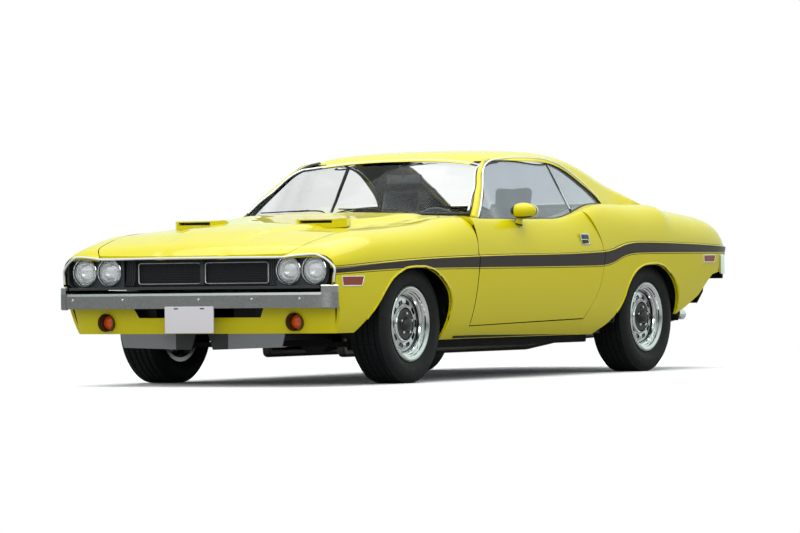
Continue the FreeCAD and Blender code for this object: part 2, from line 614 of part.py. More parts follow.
def make_boot_lid():
    top = slab(boot_z, spread(-700, 700, 15), spread(BOOT_FRONT_Y - 20, 2420, 21), LID_THICKNESS)
    stations = (BOOT_FRONT_Y, 1650, 1700, 1800, 1900, 2000, 2100, 2200, 2250, 2300, 2340, 2372)
    left = [V(follow(QUARTER_TOP_X, y) - SHUT_GAP, y, 0) for y in stations]
    right = [V(-p.x, p.y, 0) for p in left[::-1]]
    rear = Part.Arc(left[-1], V(0, 2392, 0), right[0]).toShape()
    face = Part.Face(Part.Wire([line(right[-1], left[0]), spline(left), rear, spline(right)]))
    lid = top.common(face.extrude(V(0, 0, 1200)))
    deck_edge = math.hypot(BOOT_FRONT_Y - SHUT_GAP - BOOT_AXIS_Y, boot_z(0, BOOT_FRONT_Y) - BOOT_AXIS_Z)
    swept = cylinder(deck_edge + CLEARANCE, V(-800, BOOT_AXIS_Y, BOOT_AXIS_Z), V(800, BOOT_AXIS_Y, BOOT_AXIS_Z))
    lid = lid.cut(swept)
    seat_y = BOOT_AXIS_Y + 170
    for side in (-1, 1):
        x0 = side * BOOT_ARM_X - ARM_THICKNESS / 2
        seat_z = boot_z(x0, seat_y) - LID_THICKNESS / 2
        arm = lid_arm(BOOT_AXIS_Y, BOOT_AXIS_Z, (85, -125, -70), seat_y, seat_z, x0)
        arm = arm.cut(cylinder(LID_PIN_RADIUS + RUNNING_FIT, V(x0 - 5, BOOT_AXIS_Y, BOOT_AXIS_Z),
                               V(x0 + 30, BOOT_AXIS_Y, BOOT_AXIS_Z)))
        lid = lid.fuse(arm)
    return lid


# Cabin structure
def cowl_z(x, y):
    """Height of the panel between bonnet and windscreen."""
    ahead = follow(FENDER_TOP_Z, y) + follow(BONNET_CROWN, y) * (1.0 - (x / 745.0) ** 2)
    return min(ahead, COWL_SEAT_Z + 16.0 * (1.0 - (x / 745.0) ** 2))


def make_cowl():
    """Cowl top, firewall and the two hinge pillars in one welding."""
    half = follow(FENDER_TOP_X, -900) - SEAT_GAP
    top = slab(cowl_z, spread(-half, half, 13), spread(-1000, -640, 9), 10)
    front_edge = [V(half, -952, 0), V(640, -930, 0), V(300, -891, 0), V(0, -880, 0), V(-300, -891, 0),
                  V(-640, -930, 0), V(-half, -952, 0)]
    face = Part.Face(Part.Wire([spline(front_edge), line(front_edge[-1], V(-half, -640, 0)),
                                line(V(-half, -640, 0), V(half, -640, 0)), line(V(half, -640, 0), front_edge[0])]))
    cowl = top.common(face.extrude(V(0, 0, 1200)))
    firewall = box(-half, half, FIREWALL_Y, FIREWALL_Y + SHEET, FLOOR_Z + FLOOR_THICKNESS, FIREWALL_TOP_Z)
    firewall = firewall.cut(tunnel_form(TUNNEL_RADIUS, FIREWALL_Y - 5, FIREWALL_Y + 20))
    plenum_half = BONNET_ARM_X - 30
    plenum = side_prism(((FIREWALL_Y, FIREWALL_TOP_Z - SHEET), (FIREWALL_Y, FIREWALL_TOP_Z), (-880, FIREWALL_TOP_Z),
                         (-880, 926), (-868, 926), (-868, FIREWALL_TOP_Z - SHEET)), -plenum_half, plenum_half)
    cowl = cowl.fuse(firewall).fuse(plenum)
    for side in (-1, 1):
        pillar = plan_prism(((half - 10, FIREWALL_Y), (PILLAR_X, FIREWALL_Y), (PILLAR_X, -925), (755, -925),
                             (755, -890), (half - 10, -890)), SILL_Z + 45, FIREWALL_TOP_Z)
        side_plate = box(half - 10, half, -900, -660, 840, 925)
        lugs = None
        for z in HINGE_HEIGHTS:
            y = hinge_y(z)
            reach = HINGE_LEAF / 2 + LUG_GAP + LUG_THICKNESS
            for low in (z - reach, z + reach - LUG_THICKNESS):
                lug = plan_prism(((PILLAR_X - 5, y - 28), (HINGE_X, y - 14), (HINGE_X, y + 14), (PILLAR_X - 5, y + 12)),
                                 low, low + LUG_THICKNESS)
                lugs = lug if lugs is None else lugs.fuse(lug)
            lugs = lugs.fuse(hinge_pin(z, HINGE_PIN_RADIUS, reach))
        lid_pin = cylinder(LID_PIN_RADIUS, V(BONNET_ARM_X - 12, BONNET_AXIS_Y, BONNET_AXIS_Z),
                           V(half - 5, BONNET_AXIS_Y, BONNET_AXIS_Z))
        group = pillar.fuse(side_plate).fuse(lugs).fuse(lid_pin)
        cowl = cowl.fuse(group if side == 1 else mirrored(group))
    return cowl


def tunnel_form(radius, y0, y1):
    """The round-topped tunnel over the gearbox and shaft, solid."""
    top = cylinder(radius, V(0, y0, TUNNEL_AXIS_Z), V(0, y1, TUNNEL_AXIS_Z))
    return top.fuse(box(-radius, radius, y0, y1, FLOOR_Z - 1, TUNNEL_AXIS_Z)).cut(box(-400, 400, y0, y1, 0, FLOOR_Z))


def make_floor(sides):
    """Floor pan with its tunnel, the rise under the rear seat, the kick-up over the axle and the boot floor."""
    house_y, inner, thick = REAR_AXLE_Y - HOUSE_RADIUS, BOOT_HALF - SHEET, FLOOR_THICKNESS
    well_y, ledge_z = TAIL_PANEL_Y - 45, 570 - thick
    wide = side_prism(((FIREWALL_Y, FLOOR_Z), (REAR_FOOT_Y, FLOOR_Z), (REAR_FOOT_Y, REAR_FOOT_Z),
                       (house_y, REAR_FOOT_Z), (house_y, REAR_FOOT_Z + thick),
                       (REAR_FOOT_Y - thick, REAR_FOOT_Z + thick), (REAR_FOOT_Y - thick, FLOOR_Z + thick),
                       (FIREWALL_Y, FLOOR_Z + thick)), -860, 860)
    for side in sides:
        wide = wide.cut(side)
    narrow = side_prism(((house_y, REAR_FOOT_Z), (KICK_FRONT_Y, REAR_FOOT_Z), (KICK_FRONT_Y, KICK_Z),
                         (KICK_REAR_Y, KICK_Z), (KICK_REAR_Y, BOOT_FLOOR_Z), (well_y, BOOT_FLOOR_Z),
                         (well_y, ledge_z), (TAIL_PANEL_Y, ledge_z), (TAIL_PANEL_Y, ledge_z + thick),
                         (well_y - thick, ledge_z + thick),
                         (well_y - thick, BOOT_FLOOR_Z + thick), (KICK_REAR_Y + thick, BOOT_FLOOR_Z + thick),
                         (KICK_REAR_Y + thick, KICK_Z + thick), (KICK_FRONT_Y - thick, KICK_Z + thick),
                         (KICK_FRONT_Y - thick, REAR_FOOT_Z + thick), (house_y, REAR_FOOT_Z + thick)), -inner, inner)
    tunnel = tunnel_form(TUNNEL_RADIUS, FIREWALL_Y, KICK_FRONT_Y - thick)
    hollow = tunnel_form(TUNNEL_RADIUS - thick, FIREWALL_Y - 5, KICK_FRONT_Y + 5)
    middle = max(wide.Solids, key=lambda piece: piece.Volume)
    return middle.fuse(narrow).fuse(tunnel).cut(hollow)


def beyond_side(y):
    """All that lies further out than the middle of the side's skin at y."""
    edge = [(point.x, point.z) for point in lower_side(y, SKIN / 2)]
    return front_prism([(edge[0][0], 0)] + edge + [(edge[-1][0], 1200), (1200, 1200), (1200, 0)], 0, 3000)


def make_rear_structure(quarter):
    """Wheelhouses, seat bulkhead, parcel shelf, deck panel and boot hinge brackets."""
    inner, kick_top = BOOT_HALF - SHEET, KICK_Z + FLOOR_THICKNESS
    deck_rear = BOOT_FRONT_Y - SHUT_GAP
    bulkhead = box(-inner, inner, BULKHEAD_Y, BULKHEAD_Y + SHEET, kick_top, SHELF_Z)
    shelf = box(-inner, inner, BULKHEAD_Y, deck_rear, SHELF_Z - SHEET, SHELF_Z)
    deck = slab(boot_z, spread(-640, 640, 9), spread(DECK_FRONT_Y, deck_rear, 4), SHEET)
    web = box(-inner, inner, DECK_FRONT_Y, DECK_FRONT_Y + 8, SHELF_Z - SHEET, 998)
    form = bulkhead.fuse(shelf).fuse(deck).fuse(web)
    for side in (-1, 1):
        front_y = REAR_AXLE_Y - HOUSE_RADIUS
        wall = side_prism(((front_y, REAR_FOOT_Z), (KICK_FRONT_Y, REAR_FOOT_Z), (KICK_FRONT_Y, KICK_Z),
                           (KICK_REAR_Y, KICK_Z), (KICK_REAR_Y, BOOT_FLOOR_Z), (2320, BOOT_FLOOR_Z), (2320, 840),
                           (1950, 915), (1640, 940), (1535, SHELF_Z), (front_y, SHELF_Z)), inner, BOOT_HALF)
        arch = cylinder(HOUSE_RADIUS, V(inner, REAR_AXLE_Y, HUB_Z), V(980, REAR_AXLE_Y, HUB_Z))
        arch = arch.cut(cylinder(HOUSE_RADIUS - SHEET, V(0, REAR_AXLE_Y, HUB_Z), V(1000, REAR_AXLE_Y, HUB_Z)))
        arch = arch.cut(box(0, 1000, 0, 3000, 0, REAR_FOOT_Z)).cut(beyond_side(REAR_AXLE_Y)).cut(quarter)
        arch = max(arch.Solids, key=lambda piece: piece.Volume)
        bracket = box(BOOT_ARM_X + 10, BOOT_ARM_X + 20, BOOT_AXIS_Y - 25, BOOT_AXIS_Y + 14, BOOT_AXIS_Z - 20, 985)
        pin = cylinder(LID_PIN_RADIUS, V(BOOT_ARM_X - 12, BOOT_AXIS_Y, BOOT_AXIS_Z),
                       V(BOOT_ARM_X + 15, BOOT_AXIS_Y, BOOT_AXIS_Z))
        slot = box(BOOT_ARM_X - 20, BOOT_ARM_X + 10, BOOT_AXIS_Y - 40, deck_rear + 10, SHELF_Z - 20, SHELF_Z + 7)
        group = wall.fuse(arch).fuse(bracket).fuse(pin)
        form = form.cut(slot if side == 1 else mirrored(slot)).fuse(group if side == 1 else mirrored(group))
    return form


def make_front_structure(bumper):
    """Rails, radiator support and inner aprons ahead of the firewall."""
    form = box(-RAIL_OUT, RAIL_OUT, RADIATOR_Y, RADIATOR_Y + 25, 300, 700)
    form = form.cut(box(-330, 330, RADIATOR_Y - 5, RADIATOR_Y + 30, 350, 640))
    for side in (-1, 1):
        rail = box(RAIL_IN, RAIL_OUT, RADIATOR_Y, FIREWALL_Y, 250, 350)
        wall = box(RAIL_OUT - 10, RAIL_OUT, RADIATOR_Y, FIREWALL_Y, 340, APRON_TOP_Z)
        bracket = box(BRACKET_X, BRACKET_X + BRACKET_WIDTH, -2420, RADIATOR_Y, 440, 490).cut(bumper)
        group = rail.fuse(wall).fuse(bracket)
        form = form.fuse(group if side == 1 else mirrored(group))
    return form


def make_apron_rail(fender):
    """The shelf over the wheel and the rail that the fender's flange sits on."""
    wires = []
    for y in (-2205, -2000, -1700, -1400, -1189, FIREWALL_Y):
        edge, top = follow(FENDER_TOP_X, y), follow(FENDER_TOP_Z, y)
        points = [V(RAIL_OUT, y, APRON_TOP_Z - 8), V(edge + 26, y, APRON_TOP_Z - 8), V(edge + 26, y, top - 12),
                  V(edge + 14, y, top - 12), V(edge + 14, y, APRON_TOP_Z), V(RAIL_OUT, y, APRON_TOP_Z)]
        wires.append(Part.makePolygon(points + points[:1]))
    return loft(wires).cut(fender)


# Front end
def rail_form(path, profile, whole=True):
    """A band that follows a plan path, (x, y) points from the middle out to the left; profile is (depth, z)."""
    left = [V(x, y, 0) for x, y in path]
    full = [V(-p.x, p.y, 0) for p in left[:0:-1]] + left if whole else left
    wires = []
    for k, place in enumerate(full):
        before, after = full[max(k - 1, 0)], full[min(k + 1, len(full) - 1)]
        ahead = after - before
        inward = V(-ahead.y, ahead.x, 0)
        inward.normalize()
        points = [V(place.x + inward.x * d, place.y + inward.y * d, z) for d, z in profile]
        wires.append(Part.makePolygon(points + points[:1]))
    return loft(wires)


def make_front_bumper():
    """A long blade with a shelf on top, and a taller block round each corner."""
    blade = rail_form(FRONT_BUMPER_PATH, ((0, BUMPER_LOW_Z), (0, 500), (9, 513), (66, 532), (66, 522), (18, 505),
                                          (12, 495), (12, BUMPER_LOW_Z)))
    low, high = BUMPER_END_Z
    block = ((-4, low + 5), (-4, high - 5), (2, high), (12, high), (12, low), (2, low))
    end = rail_form(BUMPER_END_PATH, block, False)
    return blade.fuse(end).fuse(mirrored(end))


def make_rear_bumper():
    return rail_form(REAR_BUMPER_PATH, ((0, 580), (0, 690), (-10, 702), (-50, 708), (-50, 698), (-14, 690),
                                        (-12, 680), (-12, 580)))


def make_front_valance():
    band = rail_form(VALANCE_PATH, ((0, BUMPER_LOW_Z), (36, VALANCE_LOW_Z), (48, VALANCE_LOW_Z), (12, BUMPER_LOW_Z)))
    mouth = front_prism(((-427, 440), (427, 440), (395, 378), (-395, 378)), -2600, -2100)
    band = band.cut(mouth)
    for side in (-1, 1):
        x = side * PARKING_X
        band = band.cut(cylinder(PARKING_RADIUS, V(x, -2500, PARKING_Z), V(x, -2150, PARKING_Z)))
    return band.common(valance_zone())


def make_grille_panel():
    """The dark bucket behind the nose that carries the lamps and the grille."""
    reach, wall = LAMP_RADIUS + 9, 8
    bucket = rounded_prism(-848, 848, LAMP_Z - reach, LAMP_Z + reach, 60, BUCKET_FRONT_Y, RADIATOR_Y)
    hollow = rounded_prism(-848 + wall, 848 - wall, LAMP_Z - reach + wall, LAMP_Z + reach - wall, 60 - wall,
                           BUCKET_FRONT_Y - 5, GRILLE_BACK_Y)
    return bucket.cut(hollow)


def make_headlamps():
    """Four round lamps: a bezel ring with a bulging glass in it."""
    front, edge, bulge = LAMP_Y, LAMP_RADIUS, 18.0
    glass_edge = edge - 8
    bezel = Part.Face(Part.makePolygon([V(r, y, 0) for r, y in (
        (glass_edge - 4, front + 20), (edge, front + 20), (edge, front + 6), (edge - 3, front - 4),
        (glass_edge - 4, front + 8), (glass_edge - 4, front + 20))])).revolve(ORIGIN, Y, 360)
    bowl = cylinder(edge - 4, V(0, front + 14, 0), V(0, GRILLE_BACK_Y, 0))
    radius = (glass_edge ** 2 + bulge ** 2) / (2 * bulge)
    ball = Part.makeSphere(radius, V(0, front + 6 - bulge + radius, 0))
    glass = ball.common(cylinder(glass_edge - 2, V(0, front - 40, 0), V(0, front + 16, 0)))
    lamp = bowl.fuse(bezel).fuse(glass)
    lamps = []
    for x in (-LAMP_OUT_X, -LAMP_IN_X, LAMP_IN_X, LAMP_OUT_X):
        place = lamp.copy()
        place.translate(V(x, 0, LAMP_Z))
        lamps.append(place)
    return Part.makeCompound(lamps)


def make_parking_lamps():
    radius = PARKING_RADIUS - SEAT_GAP
    lamp = cylinder(radius, V(PARKING_X, -2310, PARKING_Z), V(PARKING_X, -2270, PARKING_Z))
    return both_sides(lamp)


def make_grille():
    """Bright frame with a centre post and a mesh of thin bars."""
    front, back = GRILLE_BACK_Y - 22, GRILLE_BACK_Y
    frame = rounded_prism(-426, 426, 561, 683, 16, front, back)
    frame = frame.cut(rounded_prism(-418, 418, 569, 675, 9, front - 5, back + 5))
    frame = frame.fuse(box(-14, 14, front - 6, back, 569, 675))
    for z in spread(582, 662, 5):
        frame = frame.fuse(box(-420, 420, back - 8, back - 2, z - 2, z + 2))
    return frame


# Glass
def make_door_glass(glazing, door):
    """The wind-down glass, from the door's belt to just under the roof rail."""
    (low_y, low_z), (high_y, high_z) = WINDOW_FRONT
    run = math.hypot(high_y - low_y, high_z - low_z)
    ahead, up = SHUT_GAP * (high_z - low_z) / run, -SHUT_GAP * (high_y - low_y) / run
    split_low, split_high = GLASS_SPLIT
    belt = [(y, follow(BELT_Z, y) - 4) for y in (low_y + ahead, -391, -100, 163, 300, split_low[0] - 3)]
    head = [(high_y + ahead, high_z + up), (WINDOW_HEAD[1][0] + 2, WINDOW_HEAD[1][1] - SHUT_GAP),
            (WINDOW_HEAD[2][0], WINDOW_HEAD[2][1] - SHUT_GAP), (split_high[0] - 3, split_high[1] - SHUT_GAP)]
    glass = glazing.common(side_window(((belt[0], head[0]), head, (head[-1], belt[-1]), belt[::-1])))
    glass = glass.cut(windscreen_prism(-20.0)).cut(door)
    return max(glass.Solids, key=lambda piece: piece.Volume)


def make_quarter_windows(glazing, quarter):
    """The small fixed panes behind the doors."""
    (low_y, low_z), (high_y, high_z) = GLASS_SPLIT
    zone = side_prism(((low_y + 3, low_z - 30), (high_y + 3, high_z + 60), (1200, high_z + 60), (1200, low_z - 30)),
                      500, 1100)
    opening = side_window(side_opening())
    pane = glazing.common(zone).common(opening).cut(quarter)
    pane = max(pane.Solids, key=lambda piece: piece.Volume)
    return both_sides(pane)


# Cabin
def soft_block(x0, x1, y0, y1, z0, z1, radius):
    block = box(x0, x1, y0, y1, z0, z1)
    return block.makeFillet(radius, block.Edges)


def make_front_seats():
    """Two high-backed bucket seats on their frames."""
    cushion = soft_block(-230, 230, -190, 330, FLOOR_Z + FLOOR_THICKNESS + 75, 420, 40)
    back = soft_block(-230, 230, -60, 60, 0, 590, 42)
    back.rotate(ORIGIN, X, -16)
    back.translate(V(0, 330, 400))
    head = soft_block(-135, 135, -38, 38, 0, 190, 34)
    head.rotate(ORIGIN, X, -16)
    head.translate(V(0, 488, 935))
    frame = box(-190, 190, -140, 280, FLOOR_Z + FLOOR_THICKNESS, FLOOR_Z + FLOOR_THICKNESS + 80)
    seat = cushion.fuse(back).fuse(head).fuse(frame)
    seat.translate(V(SEAT_X, 0, 0))
    return both_sides(seat)


def make_rear_seat():
    half = BOOT_HALF - SHEET - 10
    top_of_floor, tunnel_top = REAR_FOOT_Z + FLOOR_THICKNESS, TUNNEL_AXIS_Z + TUNNEL_RADIUS
    cushion = soft_block(-half, half, 640, 1060, tunnel_top, 500, 40)
    back = soft_block(-half, half, -60, 60, 0, 500, 42)
    back.rotate(ORIGIN, X, -14)
    back.translate(V(0, 1000, 460))
    base = box(-half + 40, half - 40, REAR_FOOT_Y, 1040, top_of_floor, tunnel_top + 20)
    base = base.cut(tunnel_form(TUNNEL_RADIUS, 600, 1100))
    return cushion.fuse(back).fuse(base)


def make_dashboard(column):
    """The dashboard, low at its front to leave room for the bonnet's hinge arms."""
    front_y = FIREWALL_Y + SHEET
    profile = ((front_y, 610), (-700, 600), (-610, 640), (-560, 730), (-600, 850), (-650, 905), (-740, 912),
               (-775, 870), (-790, 765), (front_y, 740))
    return side_prism(profile, -DASH_HALF, DASH_HALF).cut(column)


def make_steering_wheel():
    """Rim, three spokes, hub and column, tilted towards the driver."""
    ring = Part.makeTorus(188, 12)
    hub = Part.makeCylinder(52, 40, V(0, 0, -40))
    wheel = ring.fuse(hub)
    for turn in (0, 180, 270):
        spoke = box(0, 185, -13, 13, -12, -5)
        spoke.rotate(ORIGIN, Z, turn)
        wheel = wheel.fuse(spoke)
    wheel = wheel.fuse(Part.makeCylinder(26, 330, V(0, 0, -365)))
    wheel.rotate(ORIGIN, X, -WHEEL_TILT)
    wheel.translate(V(SEAT_X, -330, 800))
    return wheel


def make_interior_mirror(windscreen):
    plate = soft_block(-115, 115, -14, 14, -28, 28, 10)
    stem = cylinder(8, V(0, 0, 0), V(0, -60, 91))
    mirror = plate.fuse(stem)
    mirror.translate(V(0, -95, 1158))
    mirror = mirror.cut(windscreen)
    return max(mirror.Solids, key=lambda piece: piece.Volume)


# Power train and running gear
def make_engine():
    block = box(-150, 150, -1740, -1130, CROSSMEMBER_Z, 560)
    banks = front_prism(((-300, 640), (-190, 760), (190, 760), (300, 640), (160, 440), (-160, 440)), -1720, -1150)
    cleaner = Part.makeCylinder(190, 60, V(0, -1430, 760))
    return block.fuse(banks).fuse(cleaner)


def make_drivetrain(axle):
    """Gearbox, its crossmember under the floor, and the shaft to the rear axle."""
    gearbox = Part.makeCone(115, 70, 560, V(0, -1130, GEARBOX_Z), Y)
    shaft = cylinder(34, V(0, -600, GEARBOX_Z), V(0, REAR_AXLE_Y - 140, HUB_Z))
    mount = box(-RAIL_IN, RAIL_IN, -760, -700, MOUNT_Z, FLOOR_Z)
    return gearbox.fuse(shaft).fuse(mount).cut(axle)


def make_rear_axle():
    """Axle tube, differential and stub ends, with the leaf springs that carry it."""
    tube_end = REAR_WHEEL_X - 45
    axle = cylinder(40, V(-tube_end, REAR_AXLE_Y, HUB_Z), V(tube_end, REAR_AXLE_Y, HUB_Z))
    axle = axle.fuse(cylinder(STUB_RADIUS, V(-REAR_WHEEL_X - 62, REAR_AXLE_Y, HUB_Z),
                              V(REAR_WHEEL_X + 62, REAR_AXLE_Y, HUB_Z)))
    axle = axle.fuse(Part.makeSphere(120, V(0, REAR_AXLE_Y, HUB_Z)))
    axle = axle.fuse(cylinder(50, V(0, REAR_AXLE_Y - 140, HUB_Z), V(0, REAR_AXLE_Y, HUB_Z)))
    spring = make_leaf_spring()
    return axle.fuse(spring).fuse(mirrored(spring))


def make_leaf_spring():
    """One leaf spring with its seat on the axle, front hanger and rear shackle."""
    low, x0, x1 = HUB_Z - 40 - 10, SPRING_X, SPRING_X + SPRING_WIDTH
    points = ((750, 272), (1000, low - 18), (REAR_AXLE_Y, low - 4), (1600, low + 2), (1900, 340))
    top = [V(x0, y, z + 12) for y, z in points]
    under = [V(x0, y, z - 12) for y, z in points[::-1]]
    leaf = Part.Face(Part.Wire([spline(top), line(top[-1], under[0]), spline(under), line(under[-1], top[0])]))
    leaf = leaf.extrude(V(SPRING_WIDTH, 0, 0))
    seat = box(x0, x1, REAR_AXLE_Y - 60, REAR_AXLE_Y + 60, low - 10, HUB_Z - 30)
    hanger = box(x0, x1, 740, 775, 265, REAR_FOOT_Z)
    shackle = box(x0, x1, 1885, 1912, 335, BOOT_FLOOR_Z)
    return leaf.fuse(seat).fuse(hanger).fuse(shackle)


def make_exhaust(engine):
    """Twin pipes from the engine over the crossmember's underside and out under the tail."""
    low = MOUNT_Z - EXHAUST_RADIUS - SEAT_GAP
    points = ((250, -1300, 590), (250, -1230, low), (250, 900, low), (430, 1080, 220), (430, 1500, 230),
              (430, 1700, 260), (560, 2100, 300), (560, 2330, 330))
    pipe = None
    for a, b in zip(points, points[1:]):
        run = cylinder(EXHAUST_RADIUS, V(*a), V(*b)).fuse(Part.makeSphere(EXHAUST_RADIUS, V(*b)))
        pipe = run if pipe is None else pipe.fuse(run)
    return both_sides(pipe.cut(engine))


def make_fuel_tank():
    return soft_block(-330, 330, 1650, 2180, 210, BOOT_FLOOR_Z, 30)


def make_front_suspension():
    """Crossmember and the four control arms."""
    form = box(-RAIL_IN, RAIL_IN, FRONT_AXLE_Y - 60, FRONT_AXLE_Y + 60, 205, CROSSMEMBER_Z)
    for side in (-1, 1):
        low = plan_prism(((RAIL_IN - 30, -70), (520, -70), (640, -26), (KINGPIN_X, -26), (KINGPIN_X, 26), (640, 26),
                          (520, 70), (RAIL_IN - 30, 70)), HUB_Z - KINGPIN_REACH - 14, HUB_Z - KINGPIN_REACH + 14)
        low = low.fuse(Part.makeCylinder(26, 28, V(KINGPIN_X, 0, HUB_Z - KINGPIN_REACH - 14)))
        high = plan_prism(((RAIL_OUT, -80), (530, -70), (640, -26), (KINGPIN_X, -26), (KINGPIN_X, 26), (640, 26),
                           (530, 70), (RAIL_OUT, 80)), HUB_Z + KINGPIN_REACH - 12, HUB_Z + KINGPIN_REACH + 12)
        high = high.fuse(Part.makeCylinder(26, 24, V(KINGPIN_X, 0, HUB_Z + KINGPIN_REACH - 12)))
        spring = Part.makeCylinder(45, 2 * KINGPIN_REACH - 26, V(560, 0, HUB_Z - KINGPIN_REACH + 14))
        group = low.fuse(high).fuse(spring)
        group = group.cut(Part.makeCylinder(KINGPIN_RADIUS + RUNNING_FIT, 600, V(KINGPIN_X, 0, 0)))
        group.translate(V(0, FRONT_AXLE_Y, 0))
        form = form.fuse(group if side == 1 else mirrored(group))
    return form


def make_knuckle():
    low_z, high_z = HUB_Z - KINGPIN_REACH, HUB_Z + KINGPIN_REACH
    post = Part.makeCylinder(22, high_z - 12 - SEAT_GAP - (low_z + 14 + SEAT_GAP),
                             V(KINGPIN_X, FRONT_AXLE_Y, low_z + 14 + SEAT_GAP))
    pin = Part.makeCylinder(KINGPIN_RADIUS, high_z - low_z + 32, V(KINGPIN_X, FRONT_AXLE_Y, low_z - 18))
    stub = cylinder(STUB_RADIUS, V(KINGPIN_X, FRONT_AXLE_Y, HUB_Z), V(FRONT_WHEEL_X + 62, FRONT_AXLE_Y, HUB_Z))
    return post.fuse(pin).fuse(stub)


def revolved(points):
    """A solid of revolution about X from closed (x, radius) points."""
    corners = [V(x, r, 0) for x, r in points]
    return Part.Face(Part.makePolygon(corners + corners[:1])).revolve(ORIGIN, X, 360)


def make_rim():
    """Steel rim, slotted centre, hub and brake drum, turned about X; outboard is +X."""
    bore = STUB_RADIUS + RUNNING_FIT
    rim = revolved((
        (-98, RIM_LIP_RADIUS), (-90, RIM_LIP_RADIUS), (-90, 191), (-56, BEAD_RADIUS), (-44, 166), (42, 166),
        (60, BEAD_RADIUS), (92, 191), (92, RIM_LIP_RADIUS), (100, RIM_LIP_RADIUS), (100, 199), (94, 184), (58, 181),
        (50, 160), (56, 146), (62, 118), (50, 92), (64, HUB_RADIUS), (64, bore), (-31, bore), (-31, DRUM_RADIUS),
        (5, DRUM_RADIUS), (5, 70), (42, 84), (42, 92), (54, 118), (48, 146), (42, 156), (-38, 158), (-52, 182),
        (-98, 184)))
    for k in range(SLOT_COUNT):
        slot = box(44, 75, -SLOT_HALF, SLOT_HALF, 110, 133)
        slot.rotate(ORIGIN, X, 360.0 / SLOT_COUNT * (k + 0.5))
        rim = rim.cut(slot)
    return rim


def make_tyre():
    half = TYRE_WIDTH / 2
    outer = ((88, 191.3), (88, 209), (104, 226), (half, 262), (half - 5, 298), (half - 20, 320), (half - 48, 328),
             (0, TYRE_RADIUS))
    inner = ((60, 191.3), (70, 215), (98, 258), (84, 306), (0, 314))
    right = list(outer) + [(-x, r) for x, r in outer[-2::-1]]
    left = [(-x, r) for x, r in inner] + [(x, r) for x, r in inner[-2::-1]]
    return revolved(right + left)


def place_wheel(name, x, y):
    for piece, form in (("rim", make_rim()), ("tyre", make_tyre())):
        if x < 0:
            form = mirrored(form)
        form.translate(V(x, y, HUB_Z))
        keep(piece + "_" + name, form)


# Lamps, plates and trim
def make_side_markers():
    """The lit markers low on the fenders and high on the tail."""
    markers = []
    for outline in (((-2301, 596), (-2105, 596), (-2120, 546), (-2288, 546)),
                    ((1958, 697), (2155, 697), (2140, 655), (1968, 655))):
        place = sum(y for y, z in outline) / 4
        middle = sum(z for y, z in outline) / 4
        face_x = side_x(place, middle)
        markers.append(side_prism(outline, face_x - 14, face_x + 5))
    return markers


def make_door_mirror():
    """A bullet-shaped mirror on a short foot, on the driver's door only."""
    head = Part.makeSphere(1.0)
    scale = FreeCAD.Matrix()
    scale.scale(78, 64, 47)
    head = head.transformGeometry(scale)
    head.translate(V(MIRROR_X, MIRROR_Y, MIRROR_Z))
    stem = Part.makeCone(26, 15, 62, V(896, MIRROR_Y + 5, 878), V(0.45, 0, 1))
    return head.fuse(stem)


def make_door_handle():
    face_x = side_x(368, 794)
    return side_prism(((304, 829), (410, 829), (432, 760), (330, 760)), face_x - 10, face_x + 9)


def make_plates(front_bumper, rear_bumper):
    """Blank plates on the two bumpers."""
    front_y, rear_y = FRONT_BUMPER_PATH[0][1], REAR_BUMPER_PATH[0][1]
    front = soft_block(-158, 158, front_y - 3, front_y, 295, 441, 1)
    rear = soft_block(-158, 158, rear_y, rear_y + 3, 560, 700, 1)
    return Part.makeCompound([front.cut(front_bumper), rear.cut(rear_bumper)])


def make_tail_panel(quarter, bumper):
    """The panel between the quarters, the valance below it and the bumper's brackets."""
    panel = front_prism(((-838, 552), (838, 552), (846, 640), (838, 740), (790, 830), (-790, 830), (-838, 740),
                         (-846, 640)), TAIL_PANEL_Y, TAIL_PANEL_Y + 12)
    valance = rail_form(REAR_VALANCE_PATH, ((-28, 566), (0, 550), (-10, 470), (-50, 400), (-60, 404), (-22, 470),
                                            (-12, 552), (-40, 566)))
    form = panel.fuse(valance)
    for side in (-1, 1):
        bracket = box(BRACKET_X, BRACKET_X + BRACKET_WIDTH, TAIL_PANEL_Y + 6, 2439, 610, 670)
        form = form.fuse(bracket if side == 1 else mirrored(bracket))
    form = form.cut(bumper).cut(quarter).cut(mirrored(quarter))
    return max(form.Solids, key=lambda piece: piece.Volume)


def make_tail_lamps():
    back = TAIL_PANEL_Y + 12
    return both_sides(box(190, 690, back, back + 20, 712, 784))


def make_chin_spoiler():
    """Two flat blades under the valance, with a gap in the middle."""
    blade = front_prism(((40, VALANCE_LOW_Z), (535, VALANCE_LOW_Z), (515, 215), (70, 202)), -2305, -2299)
    return both_sides(blade)


